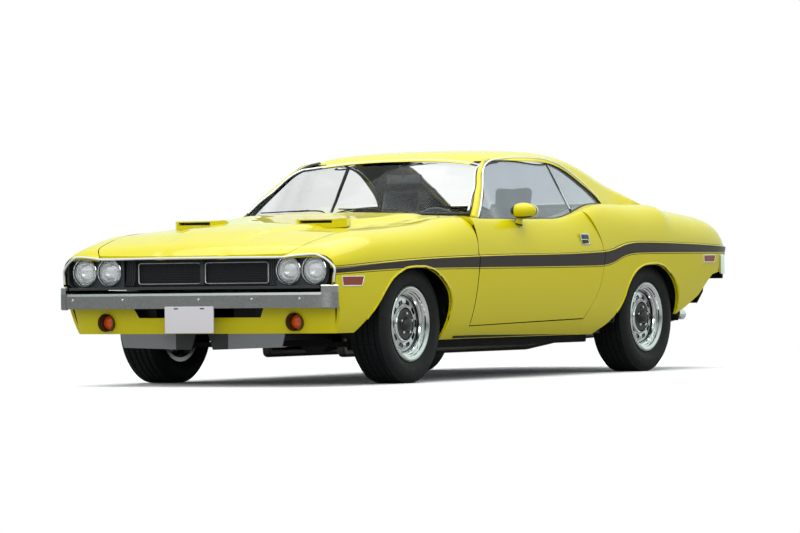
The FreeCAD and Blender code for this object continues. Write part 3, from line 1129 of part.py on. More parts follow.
def build_shell():
    bumper, rear_bumper = make_front_bumper(), make_rear_bumper()
    markers = make_side_markers()
    fender = make_fender().cut(bumper).cut(markers[0])
    quarter = make_quarter().cut(rear_bumper).cut(markers[1])
    sill = make_sill()
    keep("front_bumper", bumper)
    keep("rear_bumper", rear_bumper)
    keep_pair("fender", fender)
    keep_pair("quarter", quarter)
    keep("sills", both_sides(sill))
    keep("side_markers", Part.makeCompound([both_sides(marker) for marker in markers]))
    cowl = make_cowl()
    keep("cowl", cowl)
    roof = make_roof(roof_form(0.0), roof_form(ROOF_THICKNESS)).cut(quarter).cut(mirrored(quarter)).cut(cowl)
    keep("roof", max(roof.Solids, key=lambda piece: piece.Volume))
    tail_panel = make_tail_panel(quarter, rear_bumper)
    keep("tail_panel", tail_panel)
    floor = make_floor([side for piece in (sill, quarter, fender) for side in (piece, mirrored(piece))])
    keep("floor_pan", max(floor.cut(tail_panel).Solids, key=lambda piece: piece.Volume))
    keep("rear_structure", make_rear_structure(quarter))
    apron = make_apron_rail(fender)
    keep("front_structure", make_front_structure(bumper).fuse(apron).fuse(mirrored(apron)))
    keep("front_valance", make_front_valance())
    bucket = make_grille_panel().cut(fender).cut(mirrored(fender))
    keep("grille_panel", max(bucket.Solids, key=lambda piece: piece.Volume))
    keep("grille", make_grille())
    keep("headlamps", make_headlamps())
    keep("parking_lamps", make_parking_lamps())
    keep("chin_spoiler", make_chin_spoiler())
    keep("tail_lamps", make_tail_lamps())
    keep("plates", make_plates(bumper, rear_bumper))


def build_glass_and_doors():
    glazing = roof_form(GLASS_INSET).cut(roof_form(GLASS_INSET + GLASS_THICKNESS))
    windscreen = glazing.common(windscreen_prism(0.0)).cut(nodes["cowl"])
    keep("windscreen", max(windscreen.Solids, key=lambda piece: piece.Volume))
    keep("rear_window", glazing.common(backlight_prism(0.0)))
    keep("quarter_windows", make_quarter_windows(glazing, nodes["quarter_left"]))
    door = make_door()
    keep_pair("door", door)
    keep_pair("door_glass", make_door_glass(glazing, door))
    keep_pair("door_handle", make_door_handle().cut(door))
    keep("door_mirror", make_door_mirror().cut(door))


def build_cabin():
    keep("front_seats", make_front_seats())
    keep("rear_seat", make_rear_seat())
    wheel = make_steering_wheel()
    keep("steering_wheel", wheel)
    keep("dashboard", make_dashboard(wheel))
    keep("interior_mirror", make_interior_mirror(nodes["windscreen"]))


def build_running_gear():
    engine = make_engine()
    keep("engine", engine)
    axle = make_rear_axle()
    keep("rear_axle", axle)
    keep("drivetrain", make_drivetrain(axle))
    keep("exhaust", make_exhaust(engine))
    keep("fuel_tank", make_fuel_tank())
    keep("front_suspension", make_front_suspension())
    keep_pair("knuckle", make_knuckle())
    place_wheel("front_left", FRONT_WHEEL_X, FRONT_AXLE_Y)
    place_wheel("front_right", -FRONT_WHEEL_X, FRONT_AXLE_Y)
    place_wheel("rear_left", REAR_WHEEL_X, REAR_AXLE_Y)
    place_wheel("rear_right", -REAR_WHEEL_X, REAR_AXLE_Y)


build_shell()
build_glass_and_doors()
keep("bonnet", make_bonnet())
keep("boot_lid", make_boot_lid())
build_cabin()
build_running_gear()

os.makedirs("parts", exist_ok=True)
for name, shape in nodes.items():
    print(name, "valid" if shape.isValid() else "NOT VALID", len(shape.Solids), "solids",
          round(shape.Volume / 1e6, 2), "litres")
    shape.exportStep("parts/" + name + ".step")
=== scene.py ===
# %% [markdown]
# # A two-door muscle car in bright paint
# The frame holds every pressed panel, hinge and axle of the car at its real size, in metres: +X is the
# car's left, -Y its front and +Z up. This lesson adds what a camera sees on top of that: paint with its
# stripe, glass, chrome, rubber, wheels with real tread, padded seats and the small bright trim.

# %% Load the frame
import math

import bpy
from mathutils import Matrix, Vector
from mathutils.bvhtree import BVHTree


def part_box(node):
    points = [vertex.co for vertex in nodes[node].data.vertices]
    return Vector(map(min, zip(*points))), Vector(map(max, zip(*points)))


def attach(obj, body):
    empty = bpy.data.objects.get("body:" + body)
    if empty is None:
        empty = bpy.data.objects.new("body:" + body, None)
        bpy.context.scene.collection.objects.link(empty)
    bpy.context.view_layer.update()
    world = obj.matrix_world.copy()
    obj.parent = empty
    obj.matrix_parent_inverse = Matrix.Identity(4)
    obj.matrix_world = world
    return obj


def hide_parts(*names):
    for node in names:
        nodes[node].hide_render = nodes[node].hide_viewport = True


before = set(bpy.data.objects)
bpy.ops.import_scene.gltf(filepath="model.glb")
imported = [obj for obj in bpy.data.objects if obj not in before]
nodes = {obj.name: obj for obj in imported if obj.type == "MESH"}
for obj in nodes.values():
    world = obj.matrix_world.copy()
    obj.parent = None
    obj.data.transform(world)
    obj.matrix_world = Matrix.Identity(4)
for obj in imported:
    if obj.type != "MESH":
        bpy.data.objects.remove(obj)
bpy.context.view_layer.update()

# %% [markdown]
# ## The camera
# The photographer stood low, about 28 m away at the front left, with a long lens. A long lens keeps both
# wheels nearly round and makes the side look stretched, so the distance matters as much as the angle.

# %% Camera
CAMERA_PLACE = (14.1436, -24.1653, 0.62198)
CAMERA_YAW = 0.532416
CAMERA_PITCH = 0.000923
CAMERA_ROLL = 0.011875
FOCAL_PIXELS = 4750.06
PHOTO_WIDTH = 800
SENSOR = 36.0

camera_data = bpy.data.cameras.new("camera")
camera_data.sensor_width = SENSOR
camera_data.lens = FOCAL_PIXELS * SENSOR / PHOTO_WIDTH
camera_data.clip_end = 200.0
camera = bpy.data.objects.new("camera", camera_data)
camera.matrix_world = (Matrix.Translation(CAMERA_PLACE) @ Matrix.Rotation(CAMERA_YAW, 4, "Z")
                       @ Matrix.Rotation(math.pi / 2 + CAMERA_PITCH, 4, "X")
                       @ Matrix.Rotation(-CAMERA_ROLL, 4, "Z"))
bpy.context.scene.collection.objects.link(camera)
bpy.context.scene.camera = camera
print("lens", round(camera_data.lens, 2), "mm")

# %% [markdown]
# ## Materials
# Each finish is a Principled shader with a little procedural unevenness. One helper makes the shader and a
# second one adds fine noise to its roughness and its normal, because no real surface is one flat value.

# %% Material helpers
materials = {}


def new_finish(name, colour, roughness, metallic=0.0):
    """A named material with its Principled shader ready to adjust."""
    material = bpy.data.materials.new(name)
    material.use_nodes = True
    shader = material.node_tree.nodes["Principled BSDF"]
    shader.inputs["Base Color"].default_value = (*colour, 1)
    shader.inputs["Roughness"].default_value = roughness
    shader.inputs["Metallic"].default_value = metallic
    materials[name] = material
    return material, shader


def add_node(material, kind, **values):
    """One shader node with its settings."""
    node = material.node_tree.nodes.new(kind)
    for key, value in values.items():
        setattr(node, key, value)
    return node


def join(material, source, target):
    """Link an output socket to an input socket."""
    material.node_tree.links.new(source, target)


def object_place(material):
    """The point on the piece, in metres in the car's frame."""
    return add_node(material, "ShaderNodeTexCoord").outputs["Object"]


def axes_of(material, output):
    """The x, y and z sockets of the point on the piece, or of its outward normal."""
    source = add_node(material, "ShaderNodeTexCoord").outputs[output]
    axes = add_node(material, "ShaderNodeSeparateXYZ")
    join(material, source, axes.inputs[0])
    return axes.outputs


def unevenness(material, shader, scale, low, high, bump=0.0, bump_scale=None):
    """Noise between two roughness values, and a faint bump."""
    place = object_place(material)
    noise = add_node(material, "ShaderNodeTexNoise")
    noise.inputs["Scale"].default_value = scale
    noise.inputs["Detail"].default_value = 4.0
    spread = add_node(material, "ShaderNodeMapRange")
    spread.inputs["To Min"].default_value = low
    spread.inputs["To Max"].default_value = high
    join(material, place, noise.inputs["Vector"])
    join(material, noise.outputs["Fac"], spread.inputs["Value"])
    join(material, spread.outputs["Result"], shader.inputs["Roughness"])
    if bump:
        fine = add_node(material, "ShaderNodeTexNoise")
        fine.inputs["Scale"].default_value = bump_scale or scale * 4
        fine.inputs["Detail"].default_value = 3.0
        relief = add_node(material, "ShaderNodeBump")
        relief.inputs["Strength"].default_value = 1.0
        relief.inputs["Distance"].default_value = bump
        join(material, place, fine.inputs["Vector"])
        join(material, fine.outputs["Fac"], relief.inputs["Height"])
        join(material, relief.outputs["Normal"], shader.inputs["Normal"])


def mix_colours(material, factor, first, second):
    """A colour mix: first where the factor is 0, second where it is 1. Colours are sockets or tuples."""
    mixer = add_node(material, "ShaderNodeMix", data_type="RGBA")
    join(material, factor, mixer.inputs["Factor"])
    for value, socket in ((first, mixer.inputs[6]), (second, mixer.inputs[7])):
        if isinstance(value, tuple):
            socket.default_value = (*value, 1)
        else:
            join(material, value, socket)
    return mixer.outputs[2]


def calculate(material, operation, first, second=None, third=None):
    """One math node. Values are numbers or sockets."""
    node = add_node(material, "ShaderNodeMath", operation=operation)
    for value, socket in zip((first, second, third), node.inputs):
        if value is None:
            continue
        if isinstance(value, (int, float)):
            socket.default_value = value
        else:
            join(material, value, socket)
    return node.outputs[0]


def any_of(material, *sockets):
    """1 where one of the sockets is 1."""
    result = sockets[0]
    for socket in sockets[1:]:
        result = calculate(material, "MAXIMUM", result, socket)
    return result


# %% [markdown]
# ## Floor
# A car in a studio stands on a pale floor under one very large soft box. The soft box gives the long bright
# reflection along the shoulder, and the sides fall off darker below it. Close to the car the floor shows
# its real shading, so the shadow stays. Further away it fades into the plain white of the backdrop. Only
# the camera sees that white, directly or through glass, so it doesn't flood the paint with light.

# %% Floor
FLOOR_SIZE = 160.0
SHADOW_REACH = (3.4, 6.5)

bpy.ops.object.select_all(action="DESELECT")
bpy.ops.mesh.primitive_plane_add(size=FLOOR_SIZE, location=(0, 0, 0))
floor = bpy.context.object
floor.name = "floor"
floor_material, floor_shader = new_finish("studio_floor", (0.95, 0.95, 0.95), 0.9)
floor_shader.inputs["Specular IOR Level"].default_value = 0.0
floor_axes = axes_of(floor_material, "Object")
squares = [calculate(floor_material, "POWER", floor_axes[axis], 2.0) for axis in (0, 1)]
away = calculate(floor_material, "SQRT", calculate(floor_material, "ADD", *squares))
fade = add_node(floor_material, "ShaderNodeMapRange", interpolation_type="SMOOTHSTEP")
fade.inputs["From Min"].default_value, fade.inputs["From Max"].default_value = SHADOW_REACH
join(floor_material, away, fade.inputs["Value"])
rays = add_node(floor_material, "ShaderNodeLightPath")
seen_rays = any_of(floor_material, rays.outputs["Is Camera Ray"], rays.outputs["Is Transmission Ray"])
white = add_node(floor_material, "ShaderNodeEmission")
white.inputs["Strength"].default_value = 1.0
blend = add_node(floor_material, "ShaderNodeMixShader")
faded = calculate(floor_material, "MULTIPLY", fade.outputs["Result"], seen_rays)
join(floor_material, faded, blend.inputs["Fac"])
join(floor_material, floor_shader.outputs[0], blend.inputs[1])
join(floor_material, white.outputs[0], blend.inputs[2])
join(floor_material, blend.outputs[0], floor_material.node_tree.nodes["Material Output"].inputs["Surface"])
join(floor_material, mix_colours(floor_material, seen_rays, (0.32, 0.32, 0.31), (1.0, 1.0, 1.0)),
     floor_shader.inputs["Base Color"])
floor.data.materials.append(floor_material)
print("floor of", FLOOR_SIZE, "m")

# %% [markdown]
# ## What the paint and the chrome reflect
# The world is plain white for the camera and behind glass. For reflections it is darker near the horizon
# and bright green-white above and behind the car, as trees and a pale sky would be, so that the paint and
# the chrome have something to show.

# %% World
HORIZON = (-0.05, 0.55)
FAR_WALL = (0.25, 0.85)
SKY_COLOUR = (0.93, 0.97, 1.0)
MIRRORED_LOW = (0.17, 0.18, 0.165)
MIRRORED_HIGH = (0.80, 0.95, 0.85)

scene = bpy.context.scene
scene.view_settings.view_transform = "Standard"
world = bpy.data.worlds.new("studio")
scene.world = world
world.use_nodes = True
rays = add_node(world, "ShaderNodeLightPath")
sky = world.node_tree.nodes["Background"]
height = add_node(world, "ShaderNodeSeparateXYZ")
join(world, add_node(world, "ShaderNodeTexCoord").outputs["Generated"], height.inputs[0])
climb = add_node(world, "ShaderNodeMapRange", interpolation_type="SMOOTHSTEP")
climb.inputs["From Min"].default_value, climb.inputs["From Max"].default_value = HORIZON
join(world, height.outputs[2], climb.inputs["Value"])
beyond = add_node(world, "ShaderNodeMapRange", interpolation_type="SMOOTHSTEP")
beyond.inputs["From Min"].default_value, beyond.inputs["From Max"].default_value = FAR_WALL
join(world, height.outputs[1], beyond.inputs["Value"])
brightness = calculate(world, "MAXIMUM", climb.outputs["Result"], beyond.outputs["Result"])
mirrored = mix_colours(world, brightness, MIRRORED_LOW, MIRRORED_HIGH)
join(world, mix_colours(world, rays.outputs["Is Glossy Ray"], SKY_COLOUR, mirrored), sky.inputs["Color"])
sky.inputs["Strength"].default_value = 1.0
backdrop = add_node(world, "ShaderNodeBackground")
backdrop.inputs["Color"].default_value = (1, 1, 1, 1)
backdrop.inputs["Strength"].default_value = 1.0
seen_rays = any_of(world, rays.outputs["Is Camera Ray"], rays.outputs["Is Transmission Ray"])
mix = add_node(world, "ShaderNodeMixShader")
join(world, seen_rays, mix.inputs["Fac"])
join(world, sky.outputs[0], mix.inputs[1])
join(world, backdrop.outputs[0], mix.inputs[2])
join(world, mix.outputs[0], world.node_tree.nodes["World Output"].inputs["Surface"])
print("world of", len(world.node_tree.nodes), "nodes")

# %% [markdown]
# ## Two soft boxes
# One very large lamp hangs over the car, and a smaller one stands in front of it, so that the nose isn't
# left in shade.

# %% Lamps
def soft_box(name, place, target, size_x, size_y, watts):
    """A large rectangular lamp that looks at a target."""
    data = bpy.data.lights.new(name, "AREA")
    data.shape = "RECTANGLE"
    data.size = size_x
    data.size_y = size_y
    data.energy = watts
    lamp = bpy.data.objects.new(name, data)
    lamp.location = place
    lamp.rotation_euler = (Vector(target) - Vector(place)).to_track_quat("-Z", "Y").to_euler()
    bpy.context.scene.collection.objects.link(lamp)


soft_box("overhead_box", (0.0, 0.0, 7.0), (0, 0, 0.0), 9.0, 11.0, 560)
soft_box("front_box", (6.0, -12.0, 5.0), (0, -1.0, 0.5), 6.0, 4.0, 260)
print("two lamps")

# %% [markdown]
# ## The paint and its stripe
# The stripe is a dark tape that follows the crest of the body side from nose to tail and kicks up over the
# rear wheel. Two curves give its upper and lower edge for each place along the car. A thin line runs a few
# millimetres outside each edge. Drawing it in the material keeps it exactly on the curved panels and across
# the shut lines. The same material turns dark on the faces that look inwards or down, and on some panels
# below a set height. This is painted shade where those faces lie in shadow, and the dark lining and sealer of
# a real panel.

# %% Body paint
PAINT = (0.64, 0.555, 0.001)
STRIPE = (0.024, 0.016, 0.012)
# Painted shade and panel lining: the dark colour of faces that look in or down, or lie low.
SHADE_AND_LINING = (0.012, 0.014, 0.016)
STRIPE_START = -2.426
STRIPE_TOP = ((-2.5, 0.637), (-1.547, 0.684), (-0.880, 0.699), (0.500, 0.717), (0.640, 0.724),
              (0.900, 0.768), (1.020, 0.775), (1.300, 0.773), (2.5, 0.748))
STRIPE_BOTTOM = ((-2.5, 0.608), (-1.759, 0.635), (-0.880, 0.637), (0.500, 0.640), (0.640, 0.648),
                 (0.900, 0.705), (1.020, 0.713), (1.300, 0.715), (2.5, 0.716))
STRIPE_OUTER_X = 0.79
LINE_GAP = 0.005
LINE_WIDTH = 0.004
REACH = 2.5


def edge_height(material, along, table):
    """The height of a stripe's edge at each place along the car."""
    share = calculate(material, "MULTIPLY_ADD", along, 0.5 / REACH, 0.5)
    node = add_node(material, "ShaderNodeFloatCurve")
    curve = node.mapping.curves[0]
    while len(curve.points) < len(table):
        curve.points.new(0.5, 0.5)
    for point, (y, z) in zip(curve.points, table):
        point.location = ((y + REACH) / (2 * REACH), z)
        point.handle_type = "AUTO_CLAMPED"
    node.mapping.update()
    join(material, share, node.inputs["Value"])
    return node.outputs[0]


def band(material, value, low, high):
    """1 where the value lies between low and high."""
    above = calculate(material, "GREATER_THAN", value, low)
    below = calculate(material, "LESS_THAN", value, high)
    return calculate(material, "MULTIPLY", above, below)


def stripe_mask(material):
    """1 on the stripe and on its two thin lines."""
    x, y, z = axes_of(material, "Object")
    over_top = calculate(material, "SUBTRACT", z, edge_height(material, y, STRIPE_TOP))
    under = calculate(material, "SUBTRACT", edge_height(material, y, STRIPE_BOTTOM), z)
    outside = calculate(material, "MAXIMUM", over_top, under)
    main = calculate(material, "LESS_THAN", outside, 0.0)
    line = band(material, outside, LINE_GAP, LINE_GAP + LINE_WIDTH)
    outer = calculate(material, "GREATER_THAN", calculate(material, "ABSOLUTE", x), STRIPE_OUTER_X)
    started = calculate(material, "GREATER_THAN", y, STRIPE_START)
    return calculate(material, "MULTIPLY", any_of(material, main, line),
                     calculate(material, "MULTIPLY", started, outer))


def shade_and_lining_mask(material, looks_in, looks_down, above):
    """1 on the faces that look towards the car's middle or down, or that lie below a height: where the paint
    gets painted shade and dark lining.
    """
    place = axes_of(material, "Object")
    facing = axes_of(material, "Normal")
    inward = calculate(material, "MULTIPLY", facing[0], calculate(material, "SIGN", place[0]))
    parts = []
    if looks_in is not None:
        parts.append(calculate(material, "LESS_THAN", inward, looks_in))
    if looks_down is not None:
        parts.append(calculate(material, "LESS_THAN", facing[2], looks_down))
    if above is not None:
        parts.append(calculate(material, "LESS_THAN", place[2], above))
    return any_of(material, *parts)


def make_paint(name, striped=False, looks_in=None, looks_down=None, above=None):
    """Body paint, darkened on the faces that the mask names: painted shade there, and the dark lining of a
    real panel.
    """
    material, shader = new_finish(name, PAINT, 0.38)
    shader.inputs["Specular IOR Level"].default_value = 0.12
    shader.inputs["Coat Weight"].default_value = 0.75
    shader.inputs["Coat IOR"].default_value = 1.34
    shader.inputs["Coat Roughness"].default_value = 0.03
    unevenness(material, shader, 9.0, 0.34, 0.44, bump=0.00002, bump_scale=160.0)
    tone = add_node(material, "ShaderNodeTexNoise")
    tone.inputs["Scale"].default_value = 1.6
    join(material, object_place(material), tone.inputs["Vector"])
    colour = mix_colours(material, tone.outputs["Fac"], PAINT, tuple(0.94 * c for c in PAINT))
    if striped:
        colour = mix_colours(material, stripe_mask(material), colour, STRIPE)
    # Painted shade and dark lining on the faces that the mask picks.
    inner = shade_and_lining_mask(material, looks_in, looks_down, above)
    colour = mix_colours(material, inner, colour, SHADE_AND_LINING)
    join(material, colour, shader.inputs["Base Color"])
    return material


# The facing and height limits below say where each panel gets painted shade and dark lining.
make_paint("side_paint", striped=True, looks_in=-0.25)
make_paint("lid_paint", looks_down=-0.3)
make_paint("roof_paint", looks_in=-0.45, looks_down=-0.25)
make_paint("cowl_paint", looks_down=-0.3, above=0.88)
make_paint("deck_paint", looks_down=-0.3, above=0.981)
make_paint("low_paint", looks_in=-0.35, looks_down=-0.8)
make_paint("tail_paint", looks_down=-0.2, above=0.600)
print("paint", PAINT, "in", len(materials) - 1, "versions")

# %% [markdown]
# ## Chrome
# Bumpers of this age are plated steel. The front bumper's top is painted bright as a painted highlight, and
# its face a darker grey as painted shade, with a soft speckled haze where stones hit it. The narrow mouldings
# are too thin to mirror anything clearly, so they get a whiter and softer chrome: its pale colour is a
# painted reflection.

# %% Chrome
chrome, shader = new_finish("chrome", (0.78, 0.79, 0.80), 0.12, 1.0)
unevenness(chrome, shader, 14.0, 0.06, 0.16)

# Pale chrome for thin trim: its whitish colour is a painted reflection of the bright sky that the trim would
# mirror.
sheen_painted_chrome, shader = new_finish("sheen_painted_chrome", (0.88, 0.89, 0.90), 0.3, 0.55)
unevenness(sheen_painted_chrome, shader, 14.0, 0.24, 0.4)

# Above this height the bumper's colour is a painted highlight. Below it the face is darker grey, painted
# shade, speckled with stone wear.
BUMPER_HIGHLIGHT_Z = 0.513
bumper, shader = new_finish("bumper_plate", (0.5, 0.5, 0.52), 0.3, 1.0)
face = calculate(bumper, "LESS_THAN", axes_of(bumper, "Object")[2], BUMPER_HIGHLIGHT_Z)
speckle = add_node(bumper, "ShaderNodeTexNoise")
speckle.inputs["Scale"].default_value = 130.0
speckle.inputs["Detail"].default_value = 5.0
join(bumper, object_place(bumper), speckle.inputs["Vector"])
worn_and_shaded_face = mix_colours(bumper, speckle.outputs["Fac"], (0.22, 0.22, 0.23), (0.52, 0.52, 0.53))
join(bumper, mix_colours(bumper, face, (0.90, 0.90, 0.92), worn_and_shaded_face), shader.inputs["Base Color"])
stone_marks = calculate(bumper, "MULTIPLY_ADD", speckle.outputs["Fac"], 0.4, 0.1)
haze = calculate(bumper, "MULTIPLY", face, stone_marks)
join(bumper, calculate(bumper, "ADD", haze, 0.08), shader.inputs["Roughness"])
print("bumpers bright above", BUMPER_HIGHLIGHT_Z, "m")

# %% [markdown]
# ## Glass and lenses
# Window glass is thin, so it gets a low refraction and lets light pass nearly straight. The windows on the
# car's left show a pale grey, as in the photo, which is a painted reflection, and those on the right are
# clear. The lamp glass has fine upright flutes.

# %% Glass and lenses
glass, shader = new_finish("glass", (0.97, 0.985, 0.98), 0.0)
shader.inputs["Transmission Weight"].default_value = 1.0
shader.inputs["IOR"].default_value = 1.05
unevenness(glass, shader, 3.0, 0.0, 0.02)

side_glass, shader = new_finish("side_glass", (0.50, 0.54, 0.60), 0.0)
shader.inputs["Transmission Weight"].default_value = 0.80
shader.inputs["IOR"].default_value = 1.12
shader.inputs["Coat Weight"].default_value = 1.0
unevenness(side_glass, shader, 3.0, 0.0, 0.03)
# The grey colour and the lower transmission of the left windows are a painted reflection.
reflecting_side = calculate(side_glass, "GREATER_THAN", axes_of(side_glass, "Object")[0], 0.0)
join(side_glass, mix_colours(side_glass, reflecting_side, (0.97, 0.985, 0.98), (0.46, 0.50, 0.56)),
     shader.inputs["Base Color"])
cleared = calculate(side_glass, "MULTIPLY_ADD", reflecting_side, -0.2, 1.0)
join(side_glass, cleared, shader.inputs["Transmission Weight"])

FLUTE_SCALE = 260.0 / 6.28
lamp_glass, shader = new_finish("lamp_glass", (0.92, 0.94, 0.94), 0.05)
shader.inputs["Transmission Weight"].default_value = 0.75
shader.inputs["IOR"].default_value = 1.25
flute = add_node(lamp_glass, "ShaderNodeTexWave", wave_type="BANDS", bands_direction="X")
flute.inputs["Scale"].default_value = FLUTE_SCALE
flute.inputs["Distortion"].default_value = 0.4
relief = add_node(lamp_glass, "ShaderNodeBump")
relief.inputs["Distance"].default_value = 0.0012
join(lamp_glass, object_place(lamp_glass), flute.inputs["Vector"])
join(lamp_glass, flute.outputs["Fac"], relief.inputs["Height"])
join(lamp_glass, relief.outputs["Normal"], shader.inputs["Normal"])

red_lens, shader = new_finish("red_lens", (0.24, 0.022, 0.008), 0.16)
shader.inputs["Coat Weight"].default_value = 0.7
unevenness(red_lens, shader, 60.0, 0.12, 0.25, bump=0.0002, bump_scale=300.0)

amber_lens, shader = new_finish("amber_lens", (0.72, 0.075, 0.004), 0.18)
shader.inputs["Coat Weight"].default_value = 0.6
unevenness(amber_lens, shader, 60.0, 0.12, 0.25, bump=0.0002, bump_scale=300.0)

print("glass and lenses ready")

# %% [markdown]
# ## Rubber, steel and the dark parts
# The dark parts differ mainly in how rough they are: gloss on the shelf behind the bumper, satin on the
# pressings, dull underseal below. Each gets fine noise of its own scale.

# %% Rubber, steel and dark finishes
rubber, shader = new_finish("rubber", (0.0075, 0.0080, 0.0095), 0.7)
shader.inputs["Specular IOR Level"].default_value = 0.3
unevenness(rubber, shader, 25.0, 0.5, 0.8, bump=0.0002, bump_scale=220.0)

wheel_silver, shader = new_finish("wheel_silver", (0.62, 0.63, 0.66), 0.2, 1.0)
unevenness(wheel_silver, shader, 20.0, 0.12, 0.26)

hub_grey, shader = new_finish("hub_grey", (0.035, 0.036, 0.038), 0.42, 0.3)
unevenness(hub_grey, shader, 40.0, 0.34, 0.5, bump=0.0001, bump_scale=260.0)

black_gloss, shader = new_finish("black_gloss", (0.015, 0.016, 0.018), 0.15)
shader.inputs["Coat Weight"].default_value = 1.0
unevenness(black_gloss, shader, 20.0, 0.1, 0.22)

black_satin, shader = new_finish("black_satin", (0.012, 0.012, 0.013), 0.4)
unevenness(black_satin, shader, 30.0, 0.34, 0.5, bump=0.0001, bump_scale=200.0)

slate, shader = new_finish("slate", (0.045, 0.052, 0.060), 0.42)
unevenness(slate, shader, 30.0, 0.36, 0.5, bump=0.0001, bump_scale=200.0)

# Dark brown for the lamp wells: body colour darkened as painted shade.
recess, shader = new_finish("lamp_well_shade", (0.075, 0.045, 0.012), 0.5)
unevenness(recess, shader, 30.0, 0.4, 0.6, bump=0.0001, bump_scale=200.0)

underseal, shader = new_finish("underseal", (0.010, 0.010, 0.010), 0.85)
unevenness(underseal, shader, 12.0, 0.7, 0.95, bump=0.0008, bump_scale=90.0)

iron, shader = new_finish("iron", (0.10, 0.10, 0.105), 0.6, 0.6)
unevenness(iron, shader, 25.0, 0.5, 0.75, bump=0.0005, bump_scale=120.0)

pipe, shader = new_finish("pipe", (0.30, 0.28, 0.26), 0.45, 1.0)
unevenness(pipe, shader, 18.0, 0.35, 0.6, bump=0.0003, bump_scale=80.0)

print(len(materials), "finishes so far")

# %% [markdown]
# ## Cabin, spoiler and plates
# The cabin is trimmed in dark blue-grey vinyl with a fine grain and a few paler scuffs. The chin spoiler is
# grey with a black middle.

# %% Cabin, spoiler and plates
trim, shader = new_finish("trim", (0.018, 0.024, 0.030), 0.55)
unevenness(trim, shader, 30.0, 0.48, 0.62, bump=0.0004, bump_scale=420.0)

VINYL = (0.026, 0.040, 0.052)
vinyl, shader = new_finish("vinyl", VINYL, 0.5)
unevenness(vinyl, shader, 20.0, 0.42, 0.6, bump=0.0006, bump_scale=380.0)
scuffs = add_node(vinyl, "ShaderNodeTexNoise")
scuffs.inputs["Scale"].default_value = 7.0
join(vinyl, object_place(vinyl), scuffs.inputs["Vector"])
scuffed = mix_colours(vinyl, scuffs.outputs["Fac"], VINYL, tuple(1.5 * c for c in VINYL))
join(vinyl, scuffed, shader.inputs["Base Color"])

SPOILER_DARK_HALF = 0.17
spoiler_grey, shader = new_finish("spoiler_grey", (0.16, 0.165, 0.17), 0.5)
unevenness(spoiler_grey, shader, 16.0, 0.42, 0.62, bump=0.0002, bump_scale=150.0)
from_middle = calculate(spoiler_grey, "ABSOLUTE", axes_of(spoiler_grey, "Object")[0])
middle = calculate(spoiler_grey, "LESS_THAN", from_middle, SPOILER_DARK_HALF)
join(spoiler_grey, mix_colours(spoiler_grey, middle, (0.17, 0.175, 0.18), (0.02, 0.022, 0.024)),
     shader.inputs["Base Color"])

plate_white, shader = new_finish("plate_white", (0.66, 0.63, 0.65), 0.4)
unevenness(plate_white, shader, 30.0, 0.35, 0.5, bump=0.0001, bump_scale=200.0)

frame_pale, shader = new_finish("plate_frame", (0.50, 0.58, 0.58), 0.3, 0.6)
unevenness(frame_pale, shader, 30.0, 0.25, 0.4)

mirror_glass, shader = new_finish("mirror_glass", (0.85, 0.87, 0.88), 0.02, 1.0)
unevenness(mirror_glass, shader, 5.0, 0.01, 0.04)
print(len(materials), "finishes")

# %% [markdown]
# ## Selecting, placing and settling
# Every new piece goes the same way: start from a primitive or a curve, shape it, then settle it. Settling
# closes the seams, turns the faces outwards, smooths what should be round and says which body carries the
# piece. An operator acts on all that is selected, so one helper always deselects everything first, and
# another selects just the faces or edges that a test picks.

# %% Helpers that select and settle
SEAM = 0.00002


def pick(*pieces):
    """Select these pieces alone, the first one active."""
    bpy.ops.object.select_all(action="DESELECT")
    for piece in pieces:
        piece.select_set(True)
    bpy.context.view_layer.objects.active = pieces[0]


def whole_mesh(select=True):
    """Go into edit mode with all or nothing selected."""
    bpy.ops.object.mode_set(mode="EDIT")
    bpy.ops.mesh.select_all(action="SELECT" if select else "DESELECT")


def object_mode():
    """Leave edit mode, with points as what is picked next."""
    bpy.ops.mesh.select_mode(type="VERT")
    bpy.ops.object.mode_set(mode="OBJECT")


def choose(piece, kind, wanted):
    """Go into edit mode with only those faces or edges selected that a test picks."""
    pick(piece)
    whole_mesh(False)
    bpy.ops.mesh.select_mode(type=kind)
    bpy.ops.object.mode_set(mode="OBJECT")
    for item in piece.data.polygons if kind == "FACE" else piece.data.edges:
        item.select = wanted(item, [piece.data.vertices[i].co for i in item.vertices])
    bpy.ops.object.mode_set(mode="EDIT")


def modify(piece, kind, **values):
    """Add one modifier and apply it at once."""
    pick(piece)
    modifier = piece.modifiers.new(kind.lower(), kind)
    for key, value in values.items():
        setattr(modifier, key, value)
    bpy.ops.object.modifier_apply(modifier=modifier.name)


def place_piece(piece, place=(0, 0, 0), turn=(0, 0, 0), size=(1, 1, 1)):
    """Put a piece made at the origin where it belongs, with its place in its mesh."""
    pick(piece)
    piece.location = place
    piece.rotation_euler = turn
    piece.scale = size
    bpy.ops.object.transform_apply(location=True, rotation=True, scale=True)
    return piece


def settle(piece, name, finish, body="shell", angle=32):
    """Close the seams, turn the faces outwards and hand the piece to its body."""
    pick(piece)
    bpy.ops.object.transform_apply(location=True, rotation=True, scale=True)
    whole_mesh()
    bpy.ops.mesh.remove_doubles(threshold=SEAM)
    bpy.ops.mesh.normals_make_consistent(inside=False)
    object_mode()
    bpy.ops.object.shade_smooth_by_angle(angle=math.radians(angle))
    piece.name = name
    piece.data.name = name
    piece.data.materials.clear()
    piece.data.materials.append(materials[finish])
    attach(piece, body)
    return piece


def copy_of(piece):
    """A copy with a mesh of its own."""
    twin = piece.copy()
    twin.data = piece.data.copy()
    bpy.context.scene.collection.objects.link(twin)
    return twin


